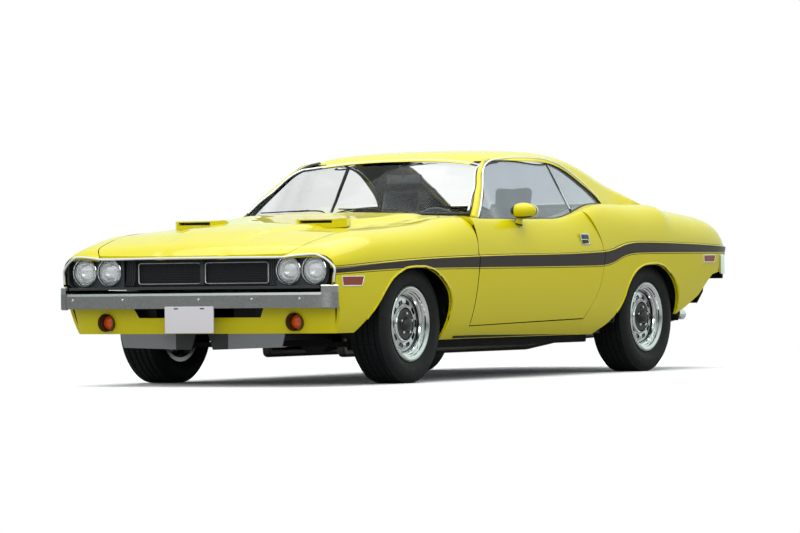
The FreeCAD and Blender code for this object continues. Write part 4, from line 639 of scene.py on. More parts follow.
def copies_at(piece, places, turn=(0, 0, 0)):
    """One piece made of copies of another, which is used up."""
    twins = [place_piece(copy_of(piece), place, turn) for place in places]
    bpy.data.objects.remove(piece)
    pick(*twins)
    if len(twins) > 1:
        bpy.ops.object.join()
    return bpy.context.object


print("settling helpers ready")

# %% [markdown]
# ## Turned shapes, bars and blocks
# Most small parts of a car are one of three things: something turned about an axis, a bent bar, or a
# pressed block. A turned shape is a circle extruded and resized ring by ring. A bar is a curve with a round
# section. A block is a cube with its edges bevelled.

# %% Helpers that make shapes
def turned(rings, sides=48, wall=0.0):
    """A shape turned about X from (place, radius) rings: a circle extruded and resized ring by ring."""
    bpy.ops.object.select_all(action="DESELECT")
    first_x, first_r = rings[0]
    bpy.ops.mesh.primitive_circle_add(vertices=sides, radius=first_r, location=(first_x, 0, 0),
                                      rotation=(0, math.pi / 2, 0))
    piece = bpy.context.object
    bpy.ops.object.transform_apply(location=True, rotation=True)
    whole_mesh()
    for (x0, r0), (x1, r1) in zip(rings, rings[1:]):
        bpy.ops.mesh.extrude_edges_move(TRANSFORM_OT_translate={"value": (x1 - x0, 0, 0)})
        if r1 > 0:
            bpy.ops.transform.resize(value=(1, r1 / r0, r1 / r0), center_override=(x1, 0, 0))
        else:
            bpy.ops.mesh.merge(type="CENTER")
    object_mode()
    if wall:
        modify(piece, "SOLIDIFY", thickness=wall, offset=-1.0)
    return piece


def bar(points, radius, closed=False, smooth=True, widths=None):
    """A round bar through points, made from a curve. Widths can make it thicker and thinner."""
    curve = bpy.data.curves.new("bar", "CURVE")
    curve.dimensions = "3D"
    curve.bevel_depth = radius
    curve.bevel_resolution = 1
    curve.use_fill_caps = True
    spline = curve.splines.new("BEZIER" if smooth else "POLY")
    if smooth:
        spline.bezier_points.add(len(points) - 1)
        for knot, point in zip(spline.bezier_points, points):
            knot.co = point
            knot.handle_left_type = knot.handle_right_type = "AUTO"
        for knot, width in zip(spline.bezier_points, widths or ()):
            knot.radius = width
        spline.resolution_u = 6
    else:
        spline.points.add(len(points) - 1)
        for knot, point in zip(spline.points, points):
            knot.co = (*point, 1)
    spline.use_cyclic_u = closed
    piece = bpy.data.objects.new("bar", curve)
    bpy.context.scene.collection.objects.link(piece)
    pick(piece)
    bpy.ops.object.convert(target="MESH")
    return bpy.context.object


def edges_to_bar(piece, radius):
    """Give a piece that is edges alone a round section."""
    pick(piece)
    bpy.ops.object.convert(target="CURVE")
    curve = bpy.context.object.data
    curve.dimensions = "3D"
    curve.bevel_depth = radius
    curve.bevel_resolution = 1
    bpy.ops.object.convert(target="MESH")
    return bpy.context.object


def wire_mesh(middle, width, height, columns, rows, thickness):
    """An upright net of square wire: a grid with the Wireframe modifier."""
    bpy.ops.object.select_all(action="DESELECT")
    bpy.ops.mesh.primitive_grid_add(x_subdivisions=columns, y_subdivisions=rows, size=1.0, location=middle,
                                    rotation=(math.pi / 2, 0, 0))
    piece = bpy.context.object
    piece.scale = (width, height, 1)
    bpy.ops.object.transform_apply(location=True, rotation=True, scale=True)
    modify(piece, "WIREFRAME", thickness=thickness, use_even_offset=False)
    return piece


def block(low, high, bevel=0.0, segments=2):
    """A block between two corners with rounded edges."""
    bpy.ops.object.select_all(action="DESELECT")
    middle = [(a + b) / 2 for a, b in zip(low, high)]
    bpy.ops.mesh.primitive_cube_add(size=1.0, location=middle)
    piece = bpy.context.object
    piece.scale = [b - a for a, b in zip(low, high)]
    bpy.ops.object.transform_apply(location=True, rotation=True, scale=True)
    if bevel:
        whole_mesh()
        bpy.ops.mesh.bevel(offset=bevel, segments=segments, affect="EDGES")
        object_mode()
    return piece


def joined(pieces):
    """Several pieces made one, with their places in the mesh."""
    pick(*pieces)
    bpy.ops.object.transform_apply(location=True, rotation=True, scale=True)
    bpy.ops.object.join()
    return bpy.context.object


print("shape helpers ready")

# %% [markdown]
# ## Rays that find a panel
# Small parts have to sit on the pressed panels exactly. A ray cast onto a panel, from beside the car or from
# above it, says where its surface is, so no place has to be guessed.

# %% Rays and display modifiers
BESIDE = 1.3
ABOVE = 1.5
ray_trees = {}


def ray(node, start, direction):
    """Where a ray first meets a CAD node, or None. The search tree is built once a node."""
    if node not in ray_trees:
        mesh = nodes[node].data
        ray_trees[node] = BVHTree.FromPolygons([vertex.co for vertex in mesh.vertices],
                                               [face.vertices for face in mesh.polygons])
    return ray_trees[node].ray_cast(Vector(start), Vector(direction))[0]


def touch(node, start, direction):
    """The same for a place that has to be there."""
    place = ray(node, start, direction)
    if place is None:
        print("no", node, "from", start)
        return Vector(start)
    return place


def from_side(sign, y, z):
    """The start and the direction of a ray that comes from beside the car."""
    return (sign * BESIDE, y, z), (-sign, 0, 0)


def from_above(x, y):
    """The same for a ray that falls from above."""
    return (x, y, ABOVE), (0, 0, -1)


SHARP = math.radians(28)


def smooth_for_display(piece):
    """Join the loose triangles of a panel and keep its corners crisp, for display only."""
    weld = piece.modifiers.new("weld", "WELD")
    weld.merge_threshold = 0.00001
    split = piece.modifiers.new("crisp_corners", "EDGE_SPLIT")
    split.split_angle = SHARP


def dress(piece, finish):
    """Give a panel its finish and smooth shading."""
    piece.data.materials.clear()
    piece.data.materials.append(materials[finish])
    for face in piece.data.polygons:
        face.use_smooth = True


SIDES = ((1, "left"), (-1, "right"))
FACE_FRONT = (0, 0, -math.pi / 2)
FACE_REAR = (0, 0, math.pi / 2)
FACE_RIGHT = (0, 0, math.pi)
print("rays ready")

# %% [markdown]
# ## Tyres
# A tyre is a turned shape with a tread cut into it. The circle is extruded round the outside from bead to
# bead, and the grooves are rings that dip inwards. The tread's blocks are the faces of each rib, inset one
# by one and raised, which leaves the narrow cross cuts between them. The inside is closed by the rings of
# the carcass.

# %% Tyres
TREAD_SIDES = 132
BASE_RADIUS = 0.3232
BLOCK_HEIGHT = 0.0055
BLOCK_GAP = 0.0016
SIDEWALL = ((0.088, 0.1915), (0.088, 0.209), (0.0965, 0.2135), (0.104, 0.224), (0.1045, 0.228),
            (0.1125, 0.243), (0.1175, 0.262), (0.1165, 0.268), (0.117, 0.284), (0.1135, 0.298),
            (0.107, 0.311), (0.100, 0.318))
RIBS = ((0.093, 0.060), (0.054, 0.021), (0.015, -0.015), (-0.021, -0.054), (-0.060, -0.093))
GROOVE_RADIUS = 0.3190
CARCASS = ((-0.062, 0.1915), (-0.095, 0.255), (-0.084, 0.300), (0.0, 0.310))
corners = ("front_left", "front_right", "rear_left", "rear_right")


def on_rib(face, places):
    """Whether a face of the tyre is the top of a rib."""
    wide = max(c.x for c in places) - min(c.x for c in places) > 0.02
    return wide and all(abs(math.hypot(c.y, c.z) - BASE_RADIUS) < 0.0002 for c in places)


rings = list(SIDEWALL)
for start, end in RIBS:
    rings += [(start, BASE_RADIUS), (end, BASE_RADIUS)]
    if (start, end) != RIBS[-1]:
        rings += [(end - 0.001, GROOVE_RADIUS), (end - 0.005, GROOVE_RADIUS)]
rings += [(-x, r) for x, r in SIDEWALL[::-1]]
rings += list(CARCASS) + [(-x, r) for x, r in CARCASS[-2::-1]] + [SIDEWALL[0]]
tyre = turned(rings, TREAD_SIDES)
whole_mesh()
bpy.ops.mesh.remove_doubles(threshold=SEAM)
bpy.ops.mesh.normals_make_consistent(inside=False)
object_mode()
choose(tyre, "FACE", on_rib)
bpy.ops.mesh.inset(thickness=BLOCK_GAP, depth=BLOCK_HEIGHT, use_individual=True)
object_mode()
print("one tyre of", len(tyre.data.polygons), "faces")

# %% [markdown]
# ## One piece, four wheels
# What is made once for a wheel is copied to all four, each copy with its own mesh, and the copies on the
# right are mirrored so that they look outwards. Each copy rides on its own wheel, so it spins and steers
# with it.

# %% Tyres on their wheels
def wheel_centre(corner):
    """The middle of a wheel, from the box of its tyre."""
    low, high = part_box("tyre_" + corner)
    return Vector([(a + b) / 2 for a, b in zip(low, high)])


def on_wheels(template, name, finish, angle=32):
    """Settle a copy of a piece on each wheel, turned outwards, and drop the template."""
    made = []
    for corner in corners:
        piece = copy_of(template)
        side = 1 if corner.endswith("left") else -1
        place_piece(piece, wheel_centre(corner), size=(side, 1, 1))
        made.append(settle(piece, name + "_" + corner, finish, "wheel_" + corner, angle))
    bpy.data.objects.remove(template)
    return dict(zip(corners, made))


for corner, piece in on_wheels(tyre, "treaded_tyre", "rubber", 28).items():
    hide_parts("tyre_" + corner)
    print("tyre on", corner)

# %% [markdown]
# ## Wheel trim
# The steel wheel wears a stepped bright ring at its edge and a smaller ring round the middle, with a dark
# cap inside it. All of them are turned from a few rings. A Solidify modifier gives the rings the thickness
# of sheet.

# %% Wheel trim
outer_ring = turned(((0.1005, 0.2065), (0.1045, 0.2035), (0.1045, 0.197), (0.0985, 0.1885), (0.0955, 0.1815),
                     (0.0865, 0.1795), (0.084, 0.1735), (0.0725, 0.1715), (0.069, 0.165), (0.0605, 0.1615)),
                    64, wall=0.0012)
on_wheels(outer_ring, "wheel_ring", "chrome")
inner_ring = turned(((0.053, 0.1005), (0.064, 0.0995), (0.0695, 0.0955), (0.0695, 0.0915), (0.062, 0.0885),
                     (0.0545, 0.0880)), 56, wall=0.0012)
on_wheels(inner_ring, "centre_ring", "chrome")
disc = turned(((0.052, 0.088), (0.0600, 0.0865), (0.0665, 0.081), (0.0665, 0.044), (0.0700, 0.039),
               (0.0850, 0.0365), (0.0935, 0.031), (0.0985, 0.020), (0.1000, 0.0)), 48, wall=0.0012)
on_wheels(disc, "hub_cap", "hub_grey")

print("rings and caps on", len(corners), "wheels")

# %% [markdown]
# ## Wheel nuts
# Five nuts stand on a circle round the hub. A nut is a cylinder of six sides with its corners bevelled.

# %% Wheel nuts
NUT_COUNT = 5
NUT_CIRCLE = 0.0570
NUT_X = 0.0735
nuts = []
for k in range(NUT_COUNT):
    turn = math.radians(90 + 360 / NUT_COUNT * k)
    bpy.ops.object.select_all(action="DESELECT")
    middle = (NUT_X, NUT_CIRCLE * math.cos(turn), NUT_CIRCLE * math.sin(turn))
    bpy.ops.mesh.primitive_cylinder_add(vertices=6, radius=0.0085, depth=0.018, rotation=(0, math.pi / 2, 0),
                                        location=middle)
    nut = bpy.context.object
    modify(nut, "BEVEL", width=0.0026, segments=2, limit_method="ANGLE")
    nuts.append(nut)
on_wheels(joined(nuts), "wheel_nuts", "chrome")
print(NUT_COUNT, "nuts on each wheel")

# %% [markdown]
# ## Headlamps
# Four round sealed lamps sit in dark plates either side of the grille. Each has an outer bright ring, a
# dark gap whose black ring is painted shade, a thin inner ring, and a fluted glass in front of a bright bowl.
# One lamp is turned from rings and copied to its four places.

# %% Headlamps
lamp_low, lamp_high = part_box("headlamps")
LAMP_X = (0.583, 0.746)
LAMP_Y = -2.336
LAMP_Z = (lamp_low[2] + lamp_high[2]) / 2 + 0.006
LAMP_PLACES = [(side * x, LAMP_Y, LAMP_Z) for side in (-1, 1) for x in LAMP_X]

bezel = turned(((-0.030, 0.0800), (0.000, 0.0802), (0.0055, 0.0790), (0.0070, 0.0765), (0.0035, 0.0742),
                (-0.0120, 0.0735)), 56, wall=0.0012)
settle(copies_at(bezel, LAMP_PLACES, FACE_FRONT), "lamp_bezels", "chrome")
# A black ring in the gap: painted shade between the bright rings.
gap = turned(((-0.0115, 0.0738), (-0.0125, 0.0690)), 56, wall=0.001)
settle(copies_at(gap, LAMP_PLACES, FACE_FRONT), "lamp_gaps", "black_satin")
keeper = turned(((-0.0120, 0.0700), (-0.0035, 0.0696), (-0.0020, 0.0678), (-0.0050, 0.0660)), 56, wall=0.001)
settle(copies_at(keeper, LAMP_PLACES, FACE_FRONT), "lamp_keepers", "chrome")
bowl = turned(((-0.0090, 0.0662), (-0.0200, 0.0640), (-0.0380, 0.0520), (-0.0500, 0.0320),
               (-0.0560, 0.0)), 48, wall=0.001)
bowls = settle(copies_at(bowl, LAMP_PLACES, FACE_FRONT), "lamp_bowls", "chrome")
lens = turned(((-0.0080, 0.0660), (0.0010, 0.0620), (0.0070, 0.0500), (0.0108, 0.0320), (0.0122, 0.0150),
               (0.0125, 0.0)), 48, wall=0.002)
settle(copies_at(lens, LAMP_PLACES, FACE_FRONT), "lamp_lenses", "lamp_glass", angle=60)
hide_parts("headlamps")
print("headlamps at height", round(LAMP_Z, 3))

# %% [markdown]
# ## Lamp plates
# The plate round each pair of lamps is a dark pressing. It is a block with its outer corners rounded, and
# two holes cut by a Boolean modifier, so that its edge round each lamp is a real one.

# %% Lamp plates
PLATE_INNER_X = 0.497
PLATE_OUTER_X = 0.838
PLATE_Y = (-2.3205, -2.3145)
PLATE_Z = (0.5475, 0.7065)
PLATE_CORNER = 0.050
LAMP_HOLE = 0.0785


def outer_corner(edge, places):
    """Whether an edge runs through a plate at its outer end."""
    a, b = places
    along_y = abs(a.x - b.x) < 1e-4 and abs(a.z - b.z) < 1e-4
    return along_y and abs(abs(a.x) - PLATE_OUTER_X) < 1e-4


plates = []
for side in (-1, 1):
    x0, x1 = sorted((side * PLATE_INNER_X, side * PLATE_OUTER_X))
    plate = block((x0, PLATE_Y[0], PLATE_Z[0]), (x1, PLATE_Y[1], PLATE_Z[1]))
    choose(plate, "EDGE", outer_corner)
    bpy.ops.mesh.bevel(offset=PLATE_CORNER, segments=8, affect="EDGES")
    object_mode()
    for x in LAMP_X:
        bpy.ops.object.select_all(action="DESELECT")
        bpy.ops.mesh.primitive_cylinder_add(vertices=56, radius=LAMP_HOLE, depth=0.05,
                                            location=(side * x, sum(PLATE_Y) / 2, LAMP_Z),
                                            rotation=(math.pi / 2, 0, 0))
        cutter = bpy.context.object
        modify(plate, "BOOLEAN", object=cutter, operation="DIFFERENCE", solver="EXACT")
        bpy.data.objects.remove(cutter)
    plates.append(plate)
settle(joined(plates), "lamp_plates", "slate")
print("lamp plates from x", PLATE_INNER_X, "to", PLATE_OUTER_X)

# %% [markdown]
# ## Grille
# Two long frames with a fine black mesh behind them. The mesh is a grid turned into wire by the Wireframe
# modifier. Each frame's outline is a plane with its corners bevelled, reduced to its edge and given a round
# section as a curve.

# %% Grille
GRILLE_Z = (0.5650, 0.6790)
GRILLE_X = (0.0150, 0.4220)
GRILLE_Y = -2.2860
MESH_CELL = 0.0095
GRILLE_WIRE = 0.0022


def outline_bar(x0, x1, z0, z1, y, corner, radius):
    """A rounded rectangle bent from round bar, facing forward."""
    bpy.ops.object.select_all(action="DESELECT")
    bpy.ops.mesh.primitive_plane_add(size=1.0, location=((x0 + x1) / 2, y, (z0 + z1) / 2),
                                     rotation=(math.pi / 2, 0, 0))
    piece = bpy.context.object
    piece.scale = (x1 - x0, z1 - z0, 1)
    bpy.ops.object.transform_apply(location=True, rotation=True, scale=True)
    whole_mesh()
    bpy.ops.mesh.bevel(offset=corner, segments=4, affect="VERTICES")
    bpy.ops.mesh.select_all(action="SELECT")
    bpy.ops.mesh.delete(type="ONLY_FACE")
    object_mode()
    return edges_to_bar(piece, radius)


frames = []
wires = []
for side in (-1, 1):
    x0, x1 = sorted((side * GRILLE_X[0], side * GRILLE_X[1]))
    frames.append(outline_bar(x0, x1, *GRILLE_Z, GRILLE_Y, 0.014, 0.0028))
    width, height = x1 - x0, GRILLE_Z[1] - GRILLE_Z[0]
    wires.append(wire_mesh(((x0 + x1) / 2, GRILLE_Y + 0.010, sum(GRILLE_Z) / 2), width, height,
                           round(width / MESH_CELL), round(height / MESH_CELL), GRILLE_WIRE))
grille_frames = settle(joined(frames), "grille_frames", "sheen_painted_chrome")
settle(joined(wires), "grille_mesh", "slate")
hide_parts("grille")

print("grille of", len(wires), "meshes")

# %% [markdown]
# ## Post, ribs and back of the grille
# A dark post stands between the two meshes. Between grille and lamps stand dark upright ribs that flare at
# the foot: bars through four points, each a little further out than the one before. A dark plate closes the
# space behind.

# %% Grille post and ribs
post = block((-0.013, -2.2990, 0.556), (0.013, -2.2700, 0.690), 0.004)
settle(post, "grille_post", "slate")

RIB_COUNT = 5
ribs = []
for side in (-1, 1):
    for k in range(RIB_COUNT):
        x = 0.440 + 0.0125 * k
        foot = x + 0.012 + 0.004 * k
        ribs.append(bar(((side * x, -2.300, 0.706), (side * x, -2.300, 0.620),
                         (side * (x + 0.002), -2.302, 0.580), (side * foot, -2.306, 0.552)), 0.0036))
settle(joined(ribs), "grille_ribs", "slate")
back_plate = block((-0.500, -2.2720, 0.548), (0.500, -2.2670, 0.708))
settle(back_plate, "grille_back", "black_satin")
print(2 * RIB_COUNT, "ribs")

# %% [markdown]
# ## Wing fronts
# The front edge of each wing sweeps back beside the outer lamp. The pressed panel ends square, so a copy of
# it is bisected by a slanting plane that takes away what lies in front. Only the faces of the nose are
# selected for the cut. Rays onto the panel find the points of the new edge, which the bright strip follows
# afterwards.

# %% Trimmed wings
NOSE_BACK_Y = -2.18
NOSE_INNER_X = 0.58
LIP_Y = -2.4130
CUT_START = 0.600
CUT_SLOPE = 0.23
STRIP_SINK = 0.0050
WING_TOP = (0.640, 0.680, 0.720, 0.755, 0.785)
WING_SIDE = (0.660, 0.635, 0.605, 0.582, 0.567)


def lip_y(x):
    """How far forward the wing reaches at each place across the car."""
    return LIP_Y + max(0.0, abs(x) - CUT_START) * CUT_SLOPE


def wing_edge(side, sign):
    """The points of a wing's front edge, from the bonnet out and down to the bumper."""
    edge = []
    for x in WING_TOP:
        top = touch("fender_" + side, *from_above(sign * x, lip_y(x) + 0.002))
        edge.append(Vector((top.x, lip_y(x), top.z - STRIP_SINK)))
    for z in WING_SIDE:
        flank = ray("fender_" + side, *from_side(sign, lip_y(0.830) + 0.002, z))
        if flank is not None:
            edge.append(Vector((flank.x - sign * STRIP_SINK, lip_y(flank.x), z)))
    return edge


def of_nose(face, places):
    """Whether a face of a wing lies in the part that may be cut."""
    return all(place.y < NOSE_BACK_Y and abs(place.x) > NOSE_INNER_X for place in places)


wing_edges = {}
for sign, side in SIDES:
    wing_edges[side] = wing_edge(side, sign)
    wing = copy_of(nodes["fender_" + side])
    wing.parent = None
    choose(wing, "FACE", of_nose)
    bpy.ops.mesh.bisect(plane_co=(sign * CUT_START, LIP_Y, 0.6), plane_no=(sign * CUT_SLOPE, -1.0, 0.0),
                        clear_outer=True)
    object_mode()
    wing.name = "trimmed_wing_" + side
    dress(wing, "side_paint")
    smooth_for_display(wing)
    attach(wing, "shell")
    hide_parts("fender_" + side)

print("wings trimmed,", len(wing_edges["left"]), "points on the left edge")

# %% [markdown]
# ## Bright edge of the nose
# A bright strip runs under the bonnet's lip over the whole width and turns down round the outer lamps. It
# is bent from one bar, whose points follow the lip and then the wings' edges. A thin bright wall closes the
# space behind each edge: it is the same line extruded backwards. A black shelf closes the gap between lamps
# and bumper.

# %% Nose strip
BONNET_LIP = ((0.0, -2.4075, 0.7060), (0.300, -2.4050, 0.7055), (0.560, -2.4010, 0.7040),
              (0.600, -2.4125, 0.7050))
STRIP_RADIUS = 0.0064
left = [Vector(point) for point in BONNET_LIP] + wing_edges["left"]
right = wing_edges["right"][::-1] + [Vector((-x, y, z)) for x, y, z in BONNET_LIP[:0:-1]]
settle(bar(right + left, STRIP_RADIUS), "nose_strip", "sheen_painted_chrome")
walls = []
for sign, side in SIDES:
    wall = bar([point + Vector((0, 0.004, 0)) for point in wing_edges[side][3:]], 0.0)
    whole_mesh()
    bpy.ops.mesh.extrude_edges_move(TRANSFORM_OT_translate={"value": (sign * -0.004, 0.040, -0.003)})
    object_mode()
    modify(wall, "SOLIDIFY", thickness=0.001)
    walls.append(wall)
settle(joined(walls), "wing_walls", "sheen_painted_chrome")
shelf = block((-0.815, -2.398, 0.5345), (0.815, -2.318, 0.5480), 0.0010)
settle(shelf, "nose_shelf", "black_gloss")
print("nose strip of", len(right + left), "points")

# %% [markdown]
# ## Bumper bolts and plate frame
# Small parts that break up the flat faces. Rays cast onto the bumper find its surface, so each bolt sits on
# the metal.

# %% Bolts and plate frame
BOLT = ((-0.003, 0.0075), (0.001, 0.0075), (0.0040, 0.0055), (0.0055, 0.0))


def bumper_bolts(bumper_name, across, start_y, z, turn, name):
    """Round bolt heads on a bumper, at these places across it."""
    toward = -1 if start_y > 0 else 1
    bolts = []
    for x in across:
        place = touch(bumper_name, (x, start_y, z), (0, toward, 0))
        bolts.append(place_piece(turned(BOLT, 16), place, turn))
    return settle(joined(bolts), name, "chrome")


bumper_bolts("front_bumper", (-0.780, -0.440, 0.060, 0.400, 0.700), -3.0, 0.478, FACE_FRONT, "bumper_bolts")
plate_frame = outline_bar(-0.155, 0.155, 0.2985, 0.4375, -2.4288, 0.010, 0.0042)
settle(plate_frame, "plate_frame", "plate_frame")
slots = [block((x - 0.014, -2.4332, 0.4255), (x + 0.014, -2.4322, 0.4325), 0.0003) for x in (-0.085, 0.085)]
settle(joined(slots), "plate_slots", "black_satin")
print("plate frame with", len(slots), "slots")

# %% [markdown]
# ## Lower lamps
# The amber lamps of the valance lie deep in round wells. The well is a turned cup, and the lens a turned
# dome at its bottom. The well's dark brown is painted shade on the body colour.

# %% Lower lamps
PARKING_PLACES = [(side * 0.612, -2.2760, 0.353) for side in (-1, 1)]
well = turned(((0.0660, 0.0500), (0.0660, 0.0490), (0.0050, 0.0475), (0.0, 0.0460), (0.0, 0.0)), 40,
              wall=0.001)
wells = settle(copies_at(well, PARKING_PLACES, FACE_FRONT), "parking_wells", "lamp_well_shade")
dome = turned(((0.0005, 0.0450), (0.0120, 0.0440), (0.0240, 0.0370), (0.0310, 0.0220), (0.0330, 0.0)), 36,
              wall=0.001)
settle(copies_at(dome, PARKING_PLACES, FACE_FRONT), "parking_domes", "amber_lens")
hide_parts("parking_lamps")
print(len(PARKING_PLACES), "lower lamps")

# %% [markdown]
# ## The edge of a pane
# Mouldings and seals follow the edge of their pane, and the pane itself gives their path: a copy of its
# outer face is reduced to its edge, turned into a curve, given a round section and made a mesh again.

# %% Pane edge helpers
def pane_edge(node, outward, radius, lift=0.0):
    """A bar that follows the edge of a pane's outer face."""
    piece = copy_of(nodes[node])
    piece.parent = None
    piece.modifiers.clear()
    pick(piece)
    whole_mesh()
    bpy.ops.mesh.remove_doubles(threshold=SEAM)
    object_mode()
    out = Vector(outward).normalized()
    choose(piece, "FACE", lambda face, places: face.normal.dot(out) > 0.35)
    bpy.ops.mesh.region_to_loop()
    bpy.ops.mesh.select_all(action="INVERT")
    bpy.ops.mesh.delete(type="EDGE")
    bpy.ops.mesh.select_all(action="SELECT")
    bpy.ops.mesh.delete_loose(use_verts=True, use_edges=False, use_faces=False)
    bpy.ops.mesh.select_all(action="SELECT")
    bpy.ops.transform.translate(value=tuple(out * lift))
    object_mode()
    return edges_to_bar(piece, radius)


def drop_below(piece, height):
    """Delete what lies at or below a height."""
    pick(piece)
    whole_mesh(False)
    object_mode()
    for vertex in piece.data.vertices:
        vertex.select = vertex.co.z <= height
    bpy.ops.object.mode_set(mode="EDIT")
    bpy.ops.mesh.delete(type="VERT")
    object_mode()
    return piece


print("pane helpers ready")

# %% [markdown]
# ## Mouldings and seals round the glass
# Bright mouldings frame the windscreen and the rear window, with a black seal under them. The windscreen's
# moulding ends above the cowl, where the real one disappears under the bonnet's edge. The side windows have
# black seals only.

# %% Mouldings and seals
SCREEN_OUT = (0, -0.45, 0.89)
REAR_OUT = (0, 0.45, 0.89)
SCREEN_FOOT = 0.962
screen_trim = drop_below(pane_edge("windscreen", SCREEN_OUT, 0.0065, 0.010), SCREEN_FOOT)
settle(screen_trim, "windscreen_moulding", "sheen_painted_chrome")
screen_seal = pane_edge("windscreen", SCREEN_OUT, 0.0075, 0.002)
settle(screen_seal, "windscreen_seal", "black_satin")
rear_trim = pane_edge("rear_window", REAR_OUT, 0.0060, 0.009)
settle(rear_trim, "rear_window_moulding", "sheen_painted_chrome")
for sign, side in SIDES:
    seal = pane_edge("door_glass_" + side, (sign, 0, 0.3), 0.0050, 0.002)
    settle(seal, "door_glass_seal_" + side, "black_satin", "door_" + side)
seals = pane_edge("quarter_windows", (1, 0, 0.3), 0.0050, 0.002)
other = pane_edge("quarter_windows", (-1, 0, 0.3), 0.0050, 0.002)
settle(joined([seals, other]), "quarter_window_seals", "black_satin")
print("mouldings of", len(screen_trim.data.polygons), "and", len(rear_trim.data.polygons), "faces")

# %% [markdown]
# ## Screen pillars, drip rails and division bars
# A painted pillar stands between the windscreen and the door glass on each side. It is a curved bar that
# gets thinner towards the roof. A bright rail runs up its outer edge and back over the side glass, and a
# thin bright bar divides door glass and quarter glass. Rays cast from outside onto the roof find where the
# rail lies on it.

# %% Screen pillars and drip rails
PILLAR_LINE = ((0.772, -0.645, 0.915), (0.747, -0.568, 0.985), (0.722, -0.510, 1.036), (0.690, -0.430, 1.099),
               (0.655, -0.366, 1.157), (0.638, -0.326, 1.188), (0.617, -0.268, 1.218), (0.592, -0.195, 1.246),
               (0.575, -0.110, 1.262))
PILLAR_RADIUS = 0.0190
PILLAR_WIDTHS = (1.35, 1.3, 1.2, 1.05, 0.95, 0.9, 0.85, 0.8, 0.7)
RAIL_FOOT = ((0.790, -0.618, 0.922), (0.771, -0.552, 0.985), (0.748, -0.498, 1.036), (0.716, -0.430, 1.100),
             (0.683, -0.370, 1.158), (0.662, -0.328, 1.190), (0.647, -0.282, 1.222), (0.638, -0.225, 1.246),
             (0.634, -0.150, 1.260), (0.641, -0.050, 1.270))
RAIL_LINE = ((0.081, 1.276), (0.240, 1.277), (0.390, 1.268), (0.551, 1.232), (0.660, 1.182), (0.738, 1.144),
             (0.820, 1.090), (0.880, 1.046))
DIVISION = ((0.400, 0.975), (0.390, 1.090), (0.378, 1.235))
for sign, side in SIDES:
    pillar = bar([(sign * x, y, z) for x, y, z in PILLAR_LINE], PILLAR_RADIUS, widths=PILLAR_WIDTHS)
    settle(pillar, "screen_pillar_" + side, "low_paint", angle=60)
    points = [Vector((sign * x, y, z)) for x, y, z in RAIL_FOOT]
    for y, z in RAIL_LINE:
        points.append(touch("roof", *from_side(sign, y, z)) + Vector((sign * 0.003, 0, 0)))
    settle(bar(points, 0.0052), "drip_rail_" + side, "sheen_painted_chrome")
    edge = []
    for y, z in DIVISION:
        place = touch("door_glass_" + side, *from_side(sign, y, z))
        edge.append(place + Vector((sign * 0.004, 0.014, 0)))
    settle(bar(edge, 0.0042), "division_bar_" + side, "sheen_painted_chrome")
print("drip rails with", len(points), "points each")

# %% [markdown]
# ## Door handles
# The handle is a leaning bright plate with a dark finger recess in its lower half and a dark flap above it.
# The plate's outer face is inset and pushed in, and the two dark pieces lie in that hollow.

# %% Door handles
def leaning_block(low, high, lean, bevel):
    """A block whose foot is moved back along the car."""
    piece = block(low, high)
    for vertex in piece.data.vertices:
        if vertex.co.z < (low[2] + high[2]) / 2:
            vertex.co.y += lean
    modify(piece, "BEVEL", width=bevel, segments=2, limit_method="ANGLE")
    return piece


HANDLE_LEAN = 0.024
for sign, side in SIDES:
    low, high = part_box("door_handle_" + side)
    face_x = high[0] if sign == 1 else low[0]
    x0, x1 = sorted((face_x - sign * 0.010, face_x - sign * 0.001))
    frame_piece = leaning_block((x0, low[1], low[2]), (x1, high[1] - HANDLE_LEAN, high[2]),
                                HANDLE_LEAN, 0.0015)
    outer_faces = [face for face in frame_piece.data.polygons if face.normal.x * sign > 0.9]
    biggest = max(outer_faces, key=lambda face: face.area).index
    choose(frame_piece, "FACE", lambda face, places: face.index == biggest)
    bpy.ops.mesh.inset(thickness=0.0050, depth=0.0)
    bpy.ops.mesh.inset(thickness=0.0015, depth=-0.0050)
    object_mode()
    handle = settle(frame_piece, "handle_frame_" + side, "chrome", "door_" + side)
    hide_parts("door_handle_" + side)
    x0, x1 = sorted((face_x - sign * 0.0075, face_x - sign * 0.0045))
    cup = leaning_block((x0, low[1] + 0.021, low[2] + 0.008),
                        (x1, high[1] - HANDLE_LEAN + 0.005, low[2] + 0.032), HANDLE_LEAN * 0.35, 0.0010)
    settle(cup, "handle_cup_" + side, "black_satin", "door_" + side)
    x0, x1 = sorted((face_x - sign * 0.0065, face_x - sign * 0.0005))
    flap = leaning_block((x0, low[1] + 0.011, low[2] + 0.036),
                         (x1, high[1] - HANDLE_LEAN - 0.006, high[2] - 0.007), HANDLE_LEAN * 0.37, 0.0020)
    settle(flap, "handle_flap_" + side, "slate", "door_" + side)
print("door handles at", [round(v, 3) for v in low])

# %% [markdown]
# ## Mirror
# The mirror's body is a pressed shell that the frame already holds. Its glass is a turned disc stretched to
# an oval, a bright rim holds it, and a dark gasket lies between the foot and the door.

